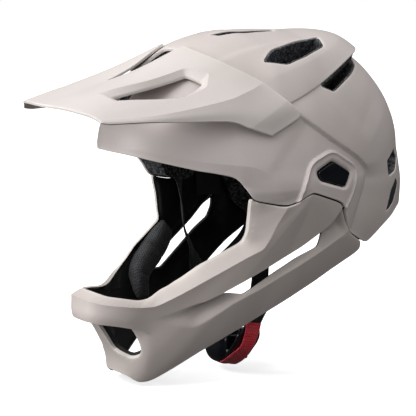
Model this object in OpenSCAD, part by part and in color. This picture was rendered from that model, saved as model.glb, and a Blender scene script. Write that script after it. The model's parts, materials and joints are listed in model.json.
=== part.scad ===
// Full-face mountain-bike helmet with a detachable chin bar and a tilting visor.
// Origin: centre of the head on the line through both ears. Forward is -Y, the wearer's left is +X, up is +Z.
// Outlines are written as side-view points [forward, height] in mm, as the left side is seen.

/* [Shell] */
// half of the width over the shell at the ears
half_width = 105; // [98:1:112]
// thickness of the painted outer shell
shell_wall = 2.6; // [2:0.2:3.4]
// gap between shell and foam
foam_gap = 0.25; // [0.2:0.05:0.4]
// thickness of the foam in the chin bar
chin_foam = 11; // [8:0.5:14]
// distance that the foam stays inside the rim of the shells
foam_inset = 3.2; // [2.4:0.2:4.5]
// gap along the joint line between shell and chin bar
joint_gap = 1.4; // [0.8:0.2:2.4]

// height of the raised bead round the release window
frame_height = 1.6; // [0.8:0.2:2.4]
// width of that bead
frame_bead = 4; // [3:0.5:6]

/* [Head space] */
// half width of the head space in the foam
head_half_width = 80; // [76:1:82]
// half length of the head space in the foam
head_half_length = 102; // [98:1:103]
// height of the head space above the ears
head_height = 95; // [90:1:97]
// thickness of the liner pads
pad_thick = 9; // [6:0.5:11]
// thickness of the cheek pads
cheek_thick = 17; // [12:0.5:20]

/* [Visor] */
// thickness of the visor
visor_wall = 2.4; // [2:0.2:3]
// forward place of the visor axis
pivot_forward = 22; // [20:0.5:24]
// height of the visor axis
pivot_height = 56; // [55:0.5:57]
// diameter of the visor pins
pin_d = 7.6; // [6:0.2:8]

/* [Buttons and dial] */
// height of the tension dial
dial_z = -33; // [-35:0.5:-33]
// travel left behind each release button
button_travel = 2.5; // [1.5:0.5:3]
// diameter of the tension dial
dial_d = 27; // [24:1:30]

/* [Straps] */
// width of the strap webbing
webbing_w = 15; // [12:1:16]
// thickness of the webbing
webbing_t = 1.6; // [1.2:0.2:2]

/* [Hidden] */
fit = 0.4;
seat = 0.3;
far_out = 140;
// places across the helmet keep their distance to the shell or follow its width
wide = half_width / 105;
latch_x = half_width - 23;
tongue_x = latch_x + 2.7;
pin_x = half_width - 18;
front_anchor_x = half_width - 25;
rear_anchor_x = half_width - 26.8;
nape_y = head_half_length + 2;

// whole silhouette of the helmet from the side, from the brow over the crown, round the nape and under the chin
side_profile = [
  [126.5, 30], [124.5, 42], [119, 56], [108, 74], [88, 93], [66.5, 106.5], [45, 113.4], [17, 117.6],
  [0, 118], [-28, 116], [-50, 111.5], [-72, 102.5], [-87, 93], [-100, 80], [-110, 66.8], [-118, 50],
  [-121, 38], [-121.5, 25], [-124, 10], [-126, -4], [-125, -18], [-123, -32], [-120, -46], [-112, -66],
  [-95, -88], [-60, -112], [0, -138], [50, -157], [90, -167], [112, -165], [124, -152], [131, -134],
  [140, -118], [149, -104], [151.5, -90], [148, -74], [141, -50], [134, -20], [129, 5]];

function ang(p) = (atan2(p[1], p[0]) + 360) % 360;
radii = [for (turn = [-360, 0, 360]) for (p = side_profile) [ang(p) + turn, norm(p)]];
// how boxy the cross-section is: 2 is an ellipse, more is squarer
boxiness = [[0, 2.2], [45, 2.2], [90, 2.25], [125, 2.05], [160, 2], [190, 2.1], [220, 2.4], [270, 3],
  [310, 3.6], [330, 3.4], [360, 2.2]];
// how much the width narrows towards the rim of the silhouette
narrowing = [[0, 0.16], [45, 0.1], [90, 0], [180, 0], [230, 0.05], [270, 0.25], [305, 0.62], [328, 0.62],
  [345, 0.35], [360, 0.16]];

function half_x(a, s, d) =
  let (n = lookup(a, boxiness))
  (half_width + d) * pow(max(0, 1 - pow(min(1, s), n)), 1 / n) * (1 - lookup(a, narrowing) * min(1, s));
// half width of the form, grown by d, at a side-view point
function side_x(f, z, d) = half_x(ang([f, z]), norm([f, z]) / (lookup(ang([f, z]), radii) + d), d);
function form_point(a, t, d) =
  let (s = cos(t), r = (lookup(a, radii) + d) * s)
  [sign(t) * half_x(a, s, d), -r * cos(a), r * sin(a)];

angles = [for (p = side_profile) ang(p)];
bands = [-78, -66, -54, -43, -32, -22, -11, 0, 11, 22, 32, 43, 54, 66, 78];

// closed helmet form: rings of points from the right ear (-X) to the left ear (+X)
module form(d) {
  m = len(angles);
  b = len(bands);
  polyhedron(
    points = concat(
      [for (t = bands) for (a = angles) form_point(a, t, d)],
      [[-half_width - d, 0, 0], [half_width + d, 0, 0]]),
    faces = concat(
      [for (i = [0:b - 2]) for (k = [0:m - 1])
        [i * m + k, i * m + (k + 1) % m, (i + 1) * m + (k + 1) % m]],
      [for (i = [0:b - 2]) for (k = [0:m - 1])
        [i * m + k, (i + 1) * m + (k + 1) % m, (i + 1) * m + k]],
      [for (k = [0:m - 1]) [b * m, (k + 1) % m, k]],
      [for (k = [0:m - 1]) [b * m + 1, (b - 1) * m + k, (b - 1) * m + (k + 1) % m]]));
}

// prism along X with a side-view outline
module across(x0, x1) {
  translate([x1, 0, 0]) rotate([90, 0, -90]) linear_extrude(x1 - x0) children();
}
module prism(outline, x0, x1) {
  across(x0, x1) polygon(outline);
}

module both_sides() {
  children();
  mirror([1, 0, 0]) children();
}

// opening through the wall towards the middle of the head, from [x, forward, height] points on the surface
module towards_head(corners, centre, deep, proud) {
  hull() for (c = corners) for (k = [deep, proud])
    translate(centre + k * ([c[0], -c[1], c[2]] - centre)) cube(0.4, center = true);
}
function mean(list) = [for (k = [0:2]) [for (i = list) i[k]] * [for (i = list) 1 / len(list)]];
// corners drawn in towards their middle
function drawn_in(list, k) = [for (c = list) mean(list) + k * (c - mean(list))];

// outlines of the two shells
shell_lower_edge = [
  [160, 26], [127, 26], [113, 22], [99, 18.5], [85, 15], [78, 14], [64, 11], [60, 9], [55, 3], [48, -7], [43, -9],
  [26, -12], [21, -12], [15, -10], [8, -5], [4, -3], [1, -3], [-22, -11], [-26, -14], [-29, -22],
  [-33, -33], [-37, -38], [-50, -45], [-53, -46], [-63, -40], [-76, -33], [-89, -27], [-96, -23], [-150, -16]];
shell_outline = concat(shell_lower_edge, [[-150, 150], [160, 150]]);
bar_outline = [
  [49, 12], [-52, 12], [-52, -47.6], [-43, -54], [-22, -67], [1, -83], [35, -106], [71, -129], [98, -149],
  [105, -154], [112, -155.5], [120, -151.5], [170, -140], [170, -80], [151, -80], [146, -82], [142, -83],
  [133, -84], [122, -85], [118, -85], [114, -82], [107, -77], [94, -69], [80, -58], [60, -46], [53, -42],
  [50, -39], [49, -31], [49, -19]];

// side-view areas of the shell and of the chin bar, each drawn in by an inset
module shell_area(inset) offset(delta = -inset) polygon(shell_outline);
module bar_area(inset) offset(delta = -inset) difference() {
  polygon(bar_outline);
  offset(delta = joint_gap) polygon(shell_outline);
}

// openings, as [x, forward, height] corners on the left surface
crown_slot = [[9, 42, 114], [12, 18, 117], [11, -14, 117], [17, -14, 116.5], [22, 18, 115.5], [19, 38, 113]];
side_vent = [[58, 14, 103], [35, -40, 108], [50, -37, 102], [66, -12, 97], [73, 8, 91], [66, 26, 94]];
rear_vent = [[83, -16, 78], [83, -29, 72], [62, -58, 84], [48, -69, 89], [36, -74, 96], [63, -46, 89], [75, -29, 83]];
low_vent = [[68, -94, 21], [65, -98.5, 14], [72, -92, 6.5], [80.5, -82, 3.5], [80, -80.5, 14]];
low_port = [[71, -94.5, 0], [69, -98, -6], [76.5, -90, -18], [85.5, -79, -24], [80, -86, -9]];
front_vent = [[11, 72, 103], [13, 90, 91], [12, 104, 79], [9, 115, 61], [-9, 115, 61], [-12, 104, 79],
  [-13, 90, 91], [-11, 72, 103]];
nape_vent = [[10, -116, 54], [22, -112, 54], [24, -112, 34], [10, -118, 30]];
chin_vent = [[20, 144, -106], [29, 132, -107.5], [31, 128, -111], [33, 119, -124], [33, 117, -129], [31, 118, -133],
  [24, 123, -135], [14, 131, -129], [15, 136, -122], [17, 139, -116]];
bar_slot = [[67, -86], [63, -82], [41, -69], [7, -47], [-7, -36], [-15, -31], [-13, -41], [-10, -51], [5, -60], [47, -88]];
release_window = [[-16, 21], [-33, 11], [-27, -1], [-3, 6], [0, 13]];
release_button_face = [[-16, 20], [-32, 10.7], [-26.4, 0.2], [-4, 6.7], [-1.2, 12.5]];

module shell_vents(deep) {
  both_sides() {
    towards_head(crown_slot, [0, 0, 0], deep, 1.15);
    towards_head(side_vent, [0, 0, 0], deep, 1.15);
    towards_head(rear_vent, [0, 10, 20], deep, 1.2);
    towards_head(low_vent, [0, 0, 0], deep, 1.2);
    towards_head(nape_vent, [0, 0, 0], deep, 1.15);
  }
}

// raised bead that frames the release window from the front, above and behind
frame_line = [[17, -20], [14, -5], [5, 21], [-16, 30], [-41, 15], [-37, -3], [-29, -16], [-21, -30]];
module release_frame() intersection() {
  difference() {
    form(frame_height);
    form(-shell_wall / 2);
  }
  across(60, far_out) intersection() {
    shell_area(seat);
    difference() {
      offset(r = 2) offset(delta = -2) polygon(frame_line);
      offset(delta = -frame_bead) polygon(frame_line);
    }
  }
}

// latch pocket beside each ear, open downwards
latch_box = [[21, -12], [-37, -12], [-37, 29], [21, 29]];

module upper_shell() color("#C9C2BE") difference() {
  union() {
    intersection() {
      difference() {
        form(0);
        form(-shell_wall);
      }
      across(-far_out, far_out) shell_area(0);
    }
    both_sides() release_frame();
    // spoiler lip over the rear vents
    difference() {
      hull() for (x = [-1, 1]) for (p = [[4, -42, 112], [30, -44, 107.5], [4, -84, 107], [24, -84, 104.5],
                                         [24, -83, 98], [4, -84, 98], [46, -68, 98], [34, -44, 103]])
        translate([x * p[0], -p[1], p[2]]) sphere(r = 1, $fn = 8);
      form(-shell_wall + 0.4);
    }
  }
  shell_vents(0.8);
  towards_head(front_vent, [0, 0, 0], 0.8, 1.15);
  both_sides() {
    towards_head(low_port, [0, 0, 0], 0.85, 1.2);
    hull() prism(release_window, 60, far_out);
    translate([80, -pivot_forward, pivot_height]) rotate([0, 90, 0]) cylinder(d = 12.6, h = 60, $fn = 36);
  }
}

module head_space() {
  hull() {
    translate([0, 2, 0]) scale([head_half_width, head_half_length, head_height]) sphere(r = 1, $fn = 48);
    translate([0, 2, -60]) scale([head_half_width, head_half_length, 1]) cylinder(r = 1, h = 60, $fn = 48);
  }
}

module helmet_liner() color("#1B1B1D") difference() {
  intersection() {
    form(-shell_wall - foam_gap);
    across(-far_out, far_out) shell_area(foam_inset);
  }
  head_space();
  shell_vents(0.5);
  towards_head([for (c = front_vent) [c[0] * 0.7, c[1], c[2]]], [0, 0, 0], 0.9, 1.15);
  both_sides() {
    towards_head(low_port, [0, 0, 0], 0.86, 1.2);
    hull() prism(latch_box, latch_x - 0.6, far_out);
    translate([pin_x - 1, -pivot_forward, pivot_height]) rotate([0, 90, 0]) cylinder(d = 12.6, h = 60, $fn = 36);
    // pockets for the strap anchors
    hull() prism([[37, -20], [19, -20], [19, 5], [37, 5]], front_anchor_x - 10, front_anchor_x + 2.7);
    hull() prism([[-36, -22], [-36, -50], [-59, -50], [-59, -22]], rear_anchor_x - 18, rear_anchor_x + 2.3);
  }
}

// glossy frames in the two low rear openings
module rear_port_left() color("#0E0E10") difference() {
  towards_head(drawn_in(low_port, 0.9), [0, 0, 0], 0.872, 0.965);
  towards_head(drawn_in(low_port, 0.6), [0, 0, 0], 0.9, 1.1);
}
module rear_port_right() mirror([1, 0, 0]) rear_port_left();

// latch housing behind the release window
module latch_housing_left() color("#141416") difference() {
  translate([latch_x, -20, -3]) cube([12, 56, 31]);
  // slot for the tongue of the chin bar
  translate([tongue_x - 0.5, -4.5, -10]) cube([4.6, 24, 24]);
  // bore for the stem of the button
  translate([latch_x - 2, 16, 10]) rotate([0, 90, 0]) cylinder(d = 9, h = 30, $fn = 40);
}
module latch_housing_right() mirror([1, 0, 0]) latch_housing_left();

module release_button_left() color("#0B0C0F") {
  prism(release_button_face, latch_x + 12.3 + button_travel, latch_x + 19.6);
  translate([tongue_x + 3.8 + button_travel, 16, 10]) rotate([0, 90, 0]) cylinder(d = 8.2, h = 6, $fn = 40);
}
module release_button_right() mirror([1, 0, 0]) release_button_left();

// bushings in the shell for the visor pins
module visor_bushing_left() color("#101012")
  translate([pin_x - 0.7, -pivot_forward, pivot_height]) rotate([0, 90, 0]) difference() {
    cylinder(d = 12, h = 6.4, $fn = 48);
    translate([0, 0, -1]) cylinder(d = pin_d + 2 * fit, h = 10, $fn = 48);
  }
module visor_bushing_right() mirror([1, 0, 0]) visor_bushing_left();

// visor: guide curves as [x, forward, height] from the rear edge to the front edge, middle to flange
visor_guides = [
  [[0, 67, 106], [0, 80, 99.8], [0, 93, 93.4], [0, 107, 87.5], [0, 130, 79.5], [0, 156, 72], [0, 183, 64.5]],
  [[19, 69, 106.5], [22, 80, 101], [24, 93, 95], [26, 107, 89], [29, 130, 80.5], [32, 155, 72.3], [34, 180, 64.3]],
  [[51, 60, 98.6], [51.5, 70, 94.6], [51.5, 82, 90], [51, 97, 84.5], [50, 122, 77], [51, 148, 70], [52, 175, 62.6]],
  [[68, 48, 90.6], [69.5, 57, 87], [69, 69, 82.6], [67, 84, 78], [65, 113, 71.5], [64.5, 141, 65.5], [63, 170, 60.3]],
  [[82, 34, 81.5], [85, 42, 77.8], [86.5, 54, 73.5], [86, 68, 69], [81.5, 105, 62], [77.5, 135, 58.5], [71, 166.5, 57.4]],
  [[95, 19, 67.5], [96, 37, 59], [93.5, 51, 58.5], [90, 67, 60], [84, 102, 58], [79.5, 134, 56.7], [73, 166, 56]],
  [[100.6, 8, 57], [100, 35, 42], [96, 49.5, 47], [91.5, 66, 53], [85, 100, 54], [80.5, 133, 55], [74, 165, 54.2]]];

// one grid of points from the right flange over the middle to the left flange
module visor_sheet() {
  n = len(visor_guides);
  columns = concat([for (i = [n - 1:-1:1]) [for (p = visor_guides[i]) [-p[0] * wide, p[1], p[2]]]],
    [for (g = visor_guides) [for (p = g) [p[0] * wide, p[1], p[2]]]]);
  // the inner face lies below the outer one, and inside it at the flanges
  function under(p) = let (w = p[0] / 82, k = sqrt(1 + 2.6 * pow(w, 4)))
    [p[0] - visor_wall * 1.6 * pow(w, 3) / k, -p[1], p[2] - visor_wall / k];
  slab([for (c = columns) [for (p = c) [p[0], -p[1], p[2]]]], [for (c = columns) [for (p = c) under(p)]]);
}

// opening through the visor, as plan-view [x, forward] corners
module visor_opening(corners, z0, z1) {
  hull() for (p = corners) translate([p[0], -p[1], z0]) cylinder(r = 1.2, h = z1 - z0, $fn = 12);
}

module visor_plate() color("#D6D1CD") difference() {
  visor_sheet();
  // notch in the middle of the rear edge
  visor_opening([[0, 124], [0, 122], [5, 96], [-5, 96]], 60, 130);
  visor_opening([[5, 96], [-5, 96], [15, 70], [-15, 70], [18, 50], [-18, 50]], 60, 130);
  // side openings
  both_sides() {
    visor_opening([[41, 142], [43, 130], [51, 138]], 40, 120);
    visor_opening([[42, 132], [45, 118], [60, 115], [52, 137]], 40, 120);
    visor_opening([[45, 118], [50, 88], [63, 82], [65, 98], [60, 117]], 40, 120);
  }
}

module visor_pin_left() color("#101012") translate([pin_x, -pivot_forward, pivot_height]) rotate([0, 90, 0])
  cylinder(d = pin_d, h = 9.4, $fn = 48);
module visor_pin_right() mirror([1, 0, 0]) visor_pin_left();

module bar_cuts(x_in) {
  both_sides() {
    hull() prism([for (i = [0, 1, 2, 9]) bar_slot[i]], x_in, far_out);
    hull() prism([for (i = [2, 3, 8, 9]) bar_slot[i]], x_in, far_out);
    hull() prism([for (i = [3, 4, 5, 6, 7, 8]) bar_slot[i]], x_in, far_out);
    towards_head(chin_vent, [0, -40, -95], 0.6, 1.2);
  }
}

module chin_bar_shell() color("#BDB6B2") difference() {
  intersection() {
    difference() {
      form(0);
      form(-shell_wall);
    }
    across(-far_out, far_out) bar_area(0);
  }
  bar_cuts(20);
}

module chin_bar_liner() color("#17171A") difference() {
  intersection() {
    difference() {
      form(-shell_wall - foam_gap);
      form(-shell_wall - foam_gap - chin_foam);
    }
    across(-far_out, far_out) bar_area(foam_inset);
  }
  bar_cuts(20);
  // seat of the tongue
  both_sides() hull() prism([[4 + seat, 20], [-19 - seat, 20], [-19 - seat, -27 - seat], [4 + seat, -27 - seat]],
    tongue_x - seat, tongue_x + 3.7 + seat);
}

// tongues of the chin bar that reach up into the latch housings
module chin_tongue_left() color("#141416") difference() {
  translate([tongue_x, -4, -27]) cube([3.7, 23, 39]);
  // notch taken by the button stem
  translate([latch_x - 2, 16, 10]) rotate([0, 90, 0]) cylinder(d = 9, h = 30, $fn = 40);
}
module chin_tongue_right() mirror([1, 0, 0]) chin_tongue_left();

// thickness of a cushion over its face: full in the middle, drawn in at the sides, with n and m sewn channels
function swell(u, v, n, m) =
  pow(max(0, 1 - pow(abs(u), 4)), 0.5) * pow(max(0, 1 - pow(abs(v), 4)), 0.5)
  * (1 - 0.22 * pow(max(0, cos(u * 180 * n)), 6) - 0.12 * pow(max(0, cos(v * 180 * m)), 8));

// closed slab between an outer and an inner grid of points
module slab(outer, inner) {
  r = len(outer);
  c = len(outer[0]);
  all = r * c;
  polyhedron(points = concat([for (row = outer) for (p = row) p], [for (row = inner) for (p = row) p]),
    faces = concat(
    [for (i = [0:r - 2]) for (j = [0:c - 2]) each [
      [i * c + j, (i + 1) * c + j + 1, i * c + j + 1], [i * c + j, (i + 1) * c + j, (i + 1) * c + j + 1]]],
    [for (i = [0:r - 2]) for (j = [0:c - 2]) each [
      [all + i * c + j, all + i * c + j + 1, all + (i + 1) * c + j + 1],
      [all + i * c + j, all + (i + 1) * c + j + 1, all + (i + 1) * c + j]]],
    [for (i = [0:r - 2]) each [
      [i * c, all + i * c, all + (i + 1) * c], [i * c, all + (i + 1) * c, (i + 1) * c],
      [i * c + c - 1, all + (i + 1) * c + c - 1, all + i * c + c - 1],
      [i * c + c - 1, (i + 1) * c + c - 1, all + (i + 1) * c + c - 1]]],
    [for (j = [0:c - 2]) each [
      [j, j + 1, all + j + 1], [j, all + j + 1, all + j],
      [(r - 1) * c + j, all + (r - 1) * c + j + 1, (r - 1) * c + j + 1],
      [(r - 1) * c + j, all + (r - 1) * c + j, all + (r - 1) * c + j + 1]]]));
}

// point on the head space wall: az from the front towards the left, el above the ears, d inwards
function bowl(az, el, d) = [
  (head_half_width - d) * cos(max(0, el)) * sin(az),
  2 - (head_half_length - d) * cos(max(0, el)) * cos(az),
  el < 0 ? el * 1.3 : (head_height - d) * sin(el)];

module bowl_pad(az0, az1, el0, el1, tufts) {
  steps = [for (i = [0:12]) -1 + i / 6];
  rows = [for (i = [0:6]) -1 + i / 3];
  outer = [for (v = rows) [for (u = steps)
    bowl((az0 + az1) / 2 + u * (az1 - az0) / 2, (el0 + el1) / 2 + v * (el1 - el0) / 2, 0.5)]];
  inner = [for (v = rows) [for (u = steps)
    bowl((az0 + az1) / 2 + u * (az1 - az0) / 2 * 0.98, (el0 + el1) / 2 + v * (el1 - el0) / 2 * 0.96,
      1.6 + (pad_thick - 1.6) * swell(u, v, tufts, 1))]];
  slab(outer, inner);
}

// strip over the crown: a is the angle from the front, w the place across
function crown(a, w, d) = [
  w, 2 - (head_half_length - d) * cos(a) * sqrt(1 - pow(w / (head_half_width - d), 2)),
  (head_height - d) * sin(a) * sqrt(1 - pow(w / (head_half_width - d), 2))];

module crown_pad() color("#202024") slab(
  [for (v = [-1:1 / 3:1]) [for (u = [-1:1 / 6:1]) crown(92 + 34 * u, -(14 + 9 * u * u) * v, 0.5)]],
  [for (v = [-1:1 / 3:1]) [for (u = [-1:1 / 6:1])
    crown(92 + 33.5 * u, -(13.6 + 9 * u * u) * v, 1.6 + (pad_thick - 1.6) * swell(u, v, 2, 1))]]);
module brow_pad() color("#202024") bowl_pad(-58, 58, 15, 30, 2);
module side_pad_left() color("#202024") bowl_pad(72, 118, 14, 44, 1);
module side_pad_right() mirror([1, 0, 0]) side_pad_left();

// cheek pads: u runs from the front to the rear along the rim, v across
cheek_line = [[88, -83], [79, -77], [69.5, -70], [59.5, -62.5], [50, -54.5], [42, -46], [36, -37]];
module cheek_pad_left() {
  dir = [[-0.6, 0.8], [0.5, 0.87]];
  function place(u, v) =
    let (p = [for (k = [0, 1]) lookup(u, [for (i = [0:6]) [i / 3 - 1, cheek_line[i][k]]])])
    p + v * (11.2 + 1.8 * u * u) * [0.57, 0.82];
  function wall(p, d) = [side_x(p[0], p[1], -shell_wall - foam_gap - chin_foam - d), -p[0], p[1]];
  outer = [for (v = [-1:1 / 3:1]) [for (u = [-1:1 / 6:1]) wall(place(u, v), 0.4)]];
  inner = [for (v = [-1:1 / 3:1]) [for (u = [-1:1 / 6:1])
    let (p = place(u * 0.98, v * 0.97), q = wall(p, 0.4)) [q[0] - 2 - (cheek_thick - 2) * swell(u, v, 1, 1), q[1], q[2]]]];
  color("#202024") slab(outer, inner);
}
module cheek_pad_right() mirror([1, 0, 0]) cheek_pad_left();

// webbing along a path of [x, forward, height] points, flat side turned by the given direction
module webbing(path, wide, flat, end_wide = undef, end_flat = undef) {
  last = len(path) - 1;
  function turned(k, a, b) = is_undef(b) ? a : a + (b - a) * k / last;
  for (i = [0:last - 1]) hull() for (k = [i, i + 1]) for (s = [-1, 1]) for (t = [-1, 1])
    translate([path[k][0], -path[k][1], path[k][2]] + s * turned(k, wide, end_wide) * (webbing_w / 2 - webbing_t / 2)
      + t * turned(k, flat, end_flat) * 0.25) sphere(d = webbing_t - 0.5, $fn = 6);
}

// where the webbing meets below the ear: the divider's middle
divider = [half_width - 56.2, 12, -89];
strap_front = [[front_anchor_x - 1.3, 28, 2], [front_anchor_x - 1.3, 28, -9], [73 * wide, 27, -24], [68 * wide, 25.5, -38],
  [63 * wide, 24, -51], divider + [9.8, 10.4, 26], divider + [6, 9, 14], divider + [2.2, 8, 5.5]];
strap_rear = [[rear_anchor_x - 1.4, -52, -31], [72.5 * wide, -46.5, -36],
  [67.5 * wide, -39, -44], [63 * wide, -30, -53.5],
  divider + [10, -33, 25.5], divider + [6.6, -25, 16], divider + [4.2, -16, 10], divider + [2.2, -9, 5.5]];
strap_chin_left = [divider + [-2.2, 1, -5.5], [44.6, 13, -103], [41.4, 13.8, -112], [38.2, 14.7, -121], [35.3, 15.6, -130],
  [33, 16.5, -136], [31.5, 17, -141]];
strap_chin_right = [divider + [-2.2, 1, -5.5], [44, 13, -103], [39, 13.8, -112], [33.6, 14.8, -121], [27.8, 16, -130],
  [23.4, 17.4, -136], [20.2, 18, -141]];
module strap_front_left() color("#16161A") webbing(strap_front, [0, 1, 0], [0.91, 0, -0.4]);
module strap_front_right() mirror([1, 0, 0]) strap_front_left();
module strap_rear_left() color("#16161A") 
  webbing(strap_rear, [-0.09, -0.52, 0.85], [0.93, -0.33, -0.1], [0.3, -0.61, 0.73], [0.93, 0, -0.37]);
module strap_rear_right() mirror([1, 0, 0]) strap_rear_left();
module chin_strap_left() color("#16161A") webbing(strap_chin_left, [0, 1, 0], [0.91, 0, -0.4]);
module chin_strap_right() color("#16161A") mirror([1, 0, 0])
  webbing(strap_chin_right, [0, 1, 0], [0.91, 0, -0.4]);

// divider that joins the webbing below each ear
module strap_divider_left() color("#0F0F12") translate([divider[0], -divider[1], divider[2]]) rotate([0, 22, 0]) difference() {
  translate([-2.6, -18, -9]) cube([5.2, 36, 18]);
  translate([-1.5, -17, 3]) cube([3, 17.5, 12]);
  translate([-1.5, 1.5, -4]) cube([3, 17.5, 17]);
  translate([-1.5, -10, -14]) cube([3, 17, 9.5]);
}
module strap_divider_right() mirror([1, 0, 0]) strap_divider_left();

// small plates that hold the webbing in the foam
module strap_anchor_left() color("#0F0F12") translate([front_anchor_x, -36, -8]) cube([2.4, 16, 12]);
module strap_anchor_right() mirror([1, 0, 0]) strap_anchor_left();
module rear_anchor_left() color("#0F0F12") translate([rear_anchor_x, 46, -40]) cube([2, 12, 16]);
module rear_anchor_right() mirror([1, 0, 0]) rear_anchor_left();

// magnetic buckle under the chin: the base hangs on the right strap, the tongue on the left one
buckle_z = -150;
buckle_travel = 12;
module buckle_base() color("#121215") difference() {
  hull() for (x = [-20, 9]) for (f = [10, 30]) translate([x, -f, buckle_z]) {
    cylinder(d = 8, h = 5.5, $fn = 32);
    cylinder(d = 6, h = 8, $fn = 32);
  }
  // rail for the tongue, open to the left
  translate([-8.4, -29, buckle_z + 3]) cube([60, 18, 10]);
  // slot for the end of the right strap
  translate([-21.4, -26.5, buckle_z + 2]) cube([2.6, 17, 10]);
  translate([4 - 8, -20, buckle_z + 1.2]) cylinder(d = 11.2, h = 10, $fn = 48);
}
module buckle_tongue() color("#1A1A1E") difference() {
  union() {
    translate([-8, -28.6, buckle_z + 3.3]) cube([28, 17.2, 5.2]);
    hull() for (x = [17, 32]) for (f = [11, 29]) translate([x, -f, buckle_z + 3.3]) cylinder(d = 6, h = 5.2, $fn = 32);
  }
  // recess for the end of the left strap, as long as the travel
  translate([31.5 - buckle_travel - 1.6, -25.6, buckle_z + 5]) cube([buckle_travel + 3.2, 17, 10]);
  translate([4 - 8, -20, buckle_z - 1]) cylinder(d = 11.2, h = 6.2, $fn = 48);
}
// magnets in the two halves
module buckle_magnet_base() color("#B8B8BC") translate([-4, -20, buckle_z + 1.4]) cylinder(d = 10.6, h = 1.5, $fn = 48);
module buckle_magnet_tongue() color("#B8B8BC") translate([-4, -20, buckle_z + 3.4]) cylinder(d = 10.6, h = 1.6, $fn = 48);
// pull tab: a ribbed band round the outer end of the tongue
tab_path = [[43.6, 9, -120], [41, 10.5, -128], [39.2, 12.5, -136], [38, 15, -143.5], [35.8, 18, -149],
  [29.5, 21, -151.6], [21, 23, -152.2]];
module pull_tab() color("#B01828") for (i = [0:len(tab_path) - 2]) hull() for (k = [i, i + 1]) for (s = [-1, 1])
  translate([tab_path[k][0], -tab_path[k][1] + s * 5.6, tab_path[k][2]]) sphere(d = 2.2, $fn = 8);

// nape cradle, slides up and down inside the rear of the helmet
module cradle_ring(d0, d1, z0, z1) {
  translate([0, 2, z0]) linear_extrude(z1 - z0) difference() {
    scale([head_half_width - d0, head_half_length - d0]) circle(r = 1, $fn = 64);
    scale([head_half_width - d1, head_half_length - d1]) circle(r = 1, $fn = 64);
  }
}
module nape_cradle() color("#141417") difference() {
  union() {
    intersection() {
      cradle_ring(3, 5.6, -44, -20);
      translate([-0.725 * head_half_width, nape_y - 44, -50]) cube([1.45 * head_half_width, 60, 60]);
    }
    // post that runs in the foam behind the head
    intersection() {
      cradle_ring(0.9, 5.6, -44, 8);
      translate([-11, nape_y - 44, -50]) cube([22, 60, 70]);
    }
    translate([0, nape_y - 3.5, dial_z]) rotate([-90, 0, 0]) cylinder(d = 20, h = 3, $fn = 48);
  }
  translate([0, nape_y - 14, dial_z]) rotate([-90, 0, 0]) cylinder(d = 6.8, h = 20, $fn = 32);
}
module tension_dial() color("#0C0C0E") translate([0, nape_y, dial_z]) rotate([-90, 0, 0]) {
  cylinder(d = dial_d, h = 8, $fn = 64);
  for (k = [0:23]) rotate(k * 15) translate([dial_d / 2, 0, 1]) cylinder(d = 1.6, h = 6, $fn = 12);
  translate([0, 0, -5]) cylinder(d = 6, h = 6, $fn = 32);
}
module nape_pad() color("#202024") slab(
  [for (v = [-1:1 / 3:1]) [for (u = [-1:1 / 6:1])
    [(head_half_width - 5.9) * sin(24 * u), 2 + (head_half_length - 5.9) * cos(24 * u), -31 - 11 * v]]],
  [for (v = [-1:1 / 3:1]) [for (u = [-1:1 / 6:1])
    let (d = 7 + 5 * swell(u, v, 1, 1))
    [(head_half_width - d) * sin(23.5 * u), 2 + (head_half_length - d) * cos(23.5 * u), -31 - 10.6 * v]]]);

upper_shell();
helmet_liner();
rear_port_left();
rear_port_right();
latch_housing_left();
latch_housing_right();
release_button_left();
release_button_right();
visor_bushing_left();
visor_bushing_right();
visor_plate();
visor_pin_left();
visor_pin_right();
chin_bar_shell();
chin_bar_liner();
chin_tongue_left();
chin_tongue_right();
crown_pad();
brow_pad();
side_pad_left();
side_pad_right();
cheek_pad_left();
cheek_pad_right();
strap_front_left();
strap_front_right();
strap_rear_left();
strap_rear_right();
chin_strap_left();
chin_strap_right();
strap_divider_left();
strap_divider_right();
strap_anchor_left();
strap_anchor_right();
rear_anchor_left();
rear_anchor_right();
buckle_base();
buckle_tongue();
buckle_magnet_base();
buckle_magnet_tongue();
pull_tab();
nape_cradle();
tension_dial();
nape_pad();
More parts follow.
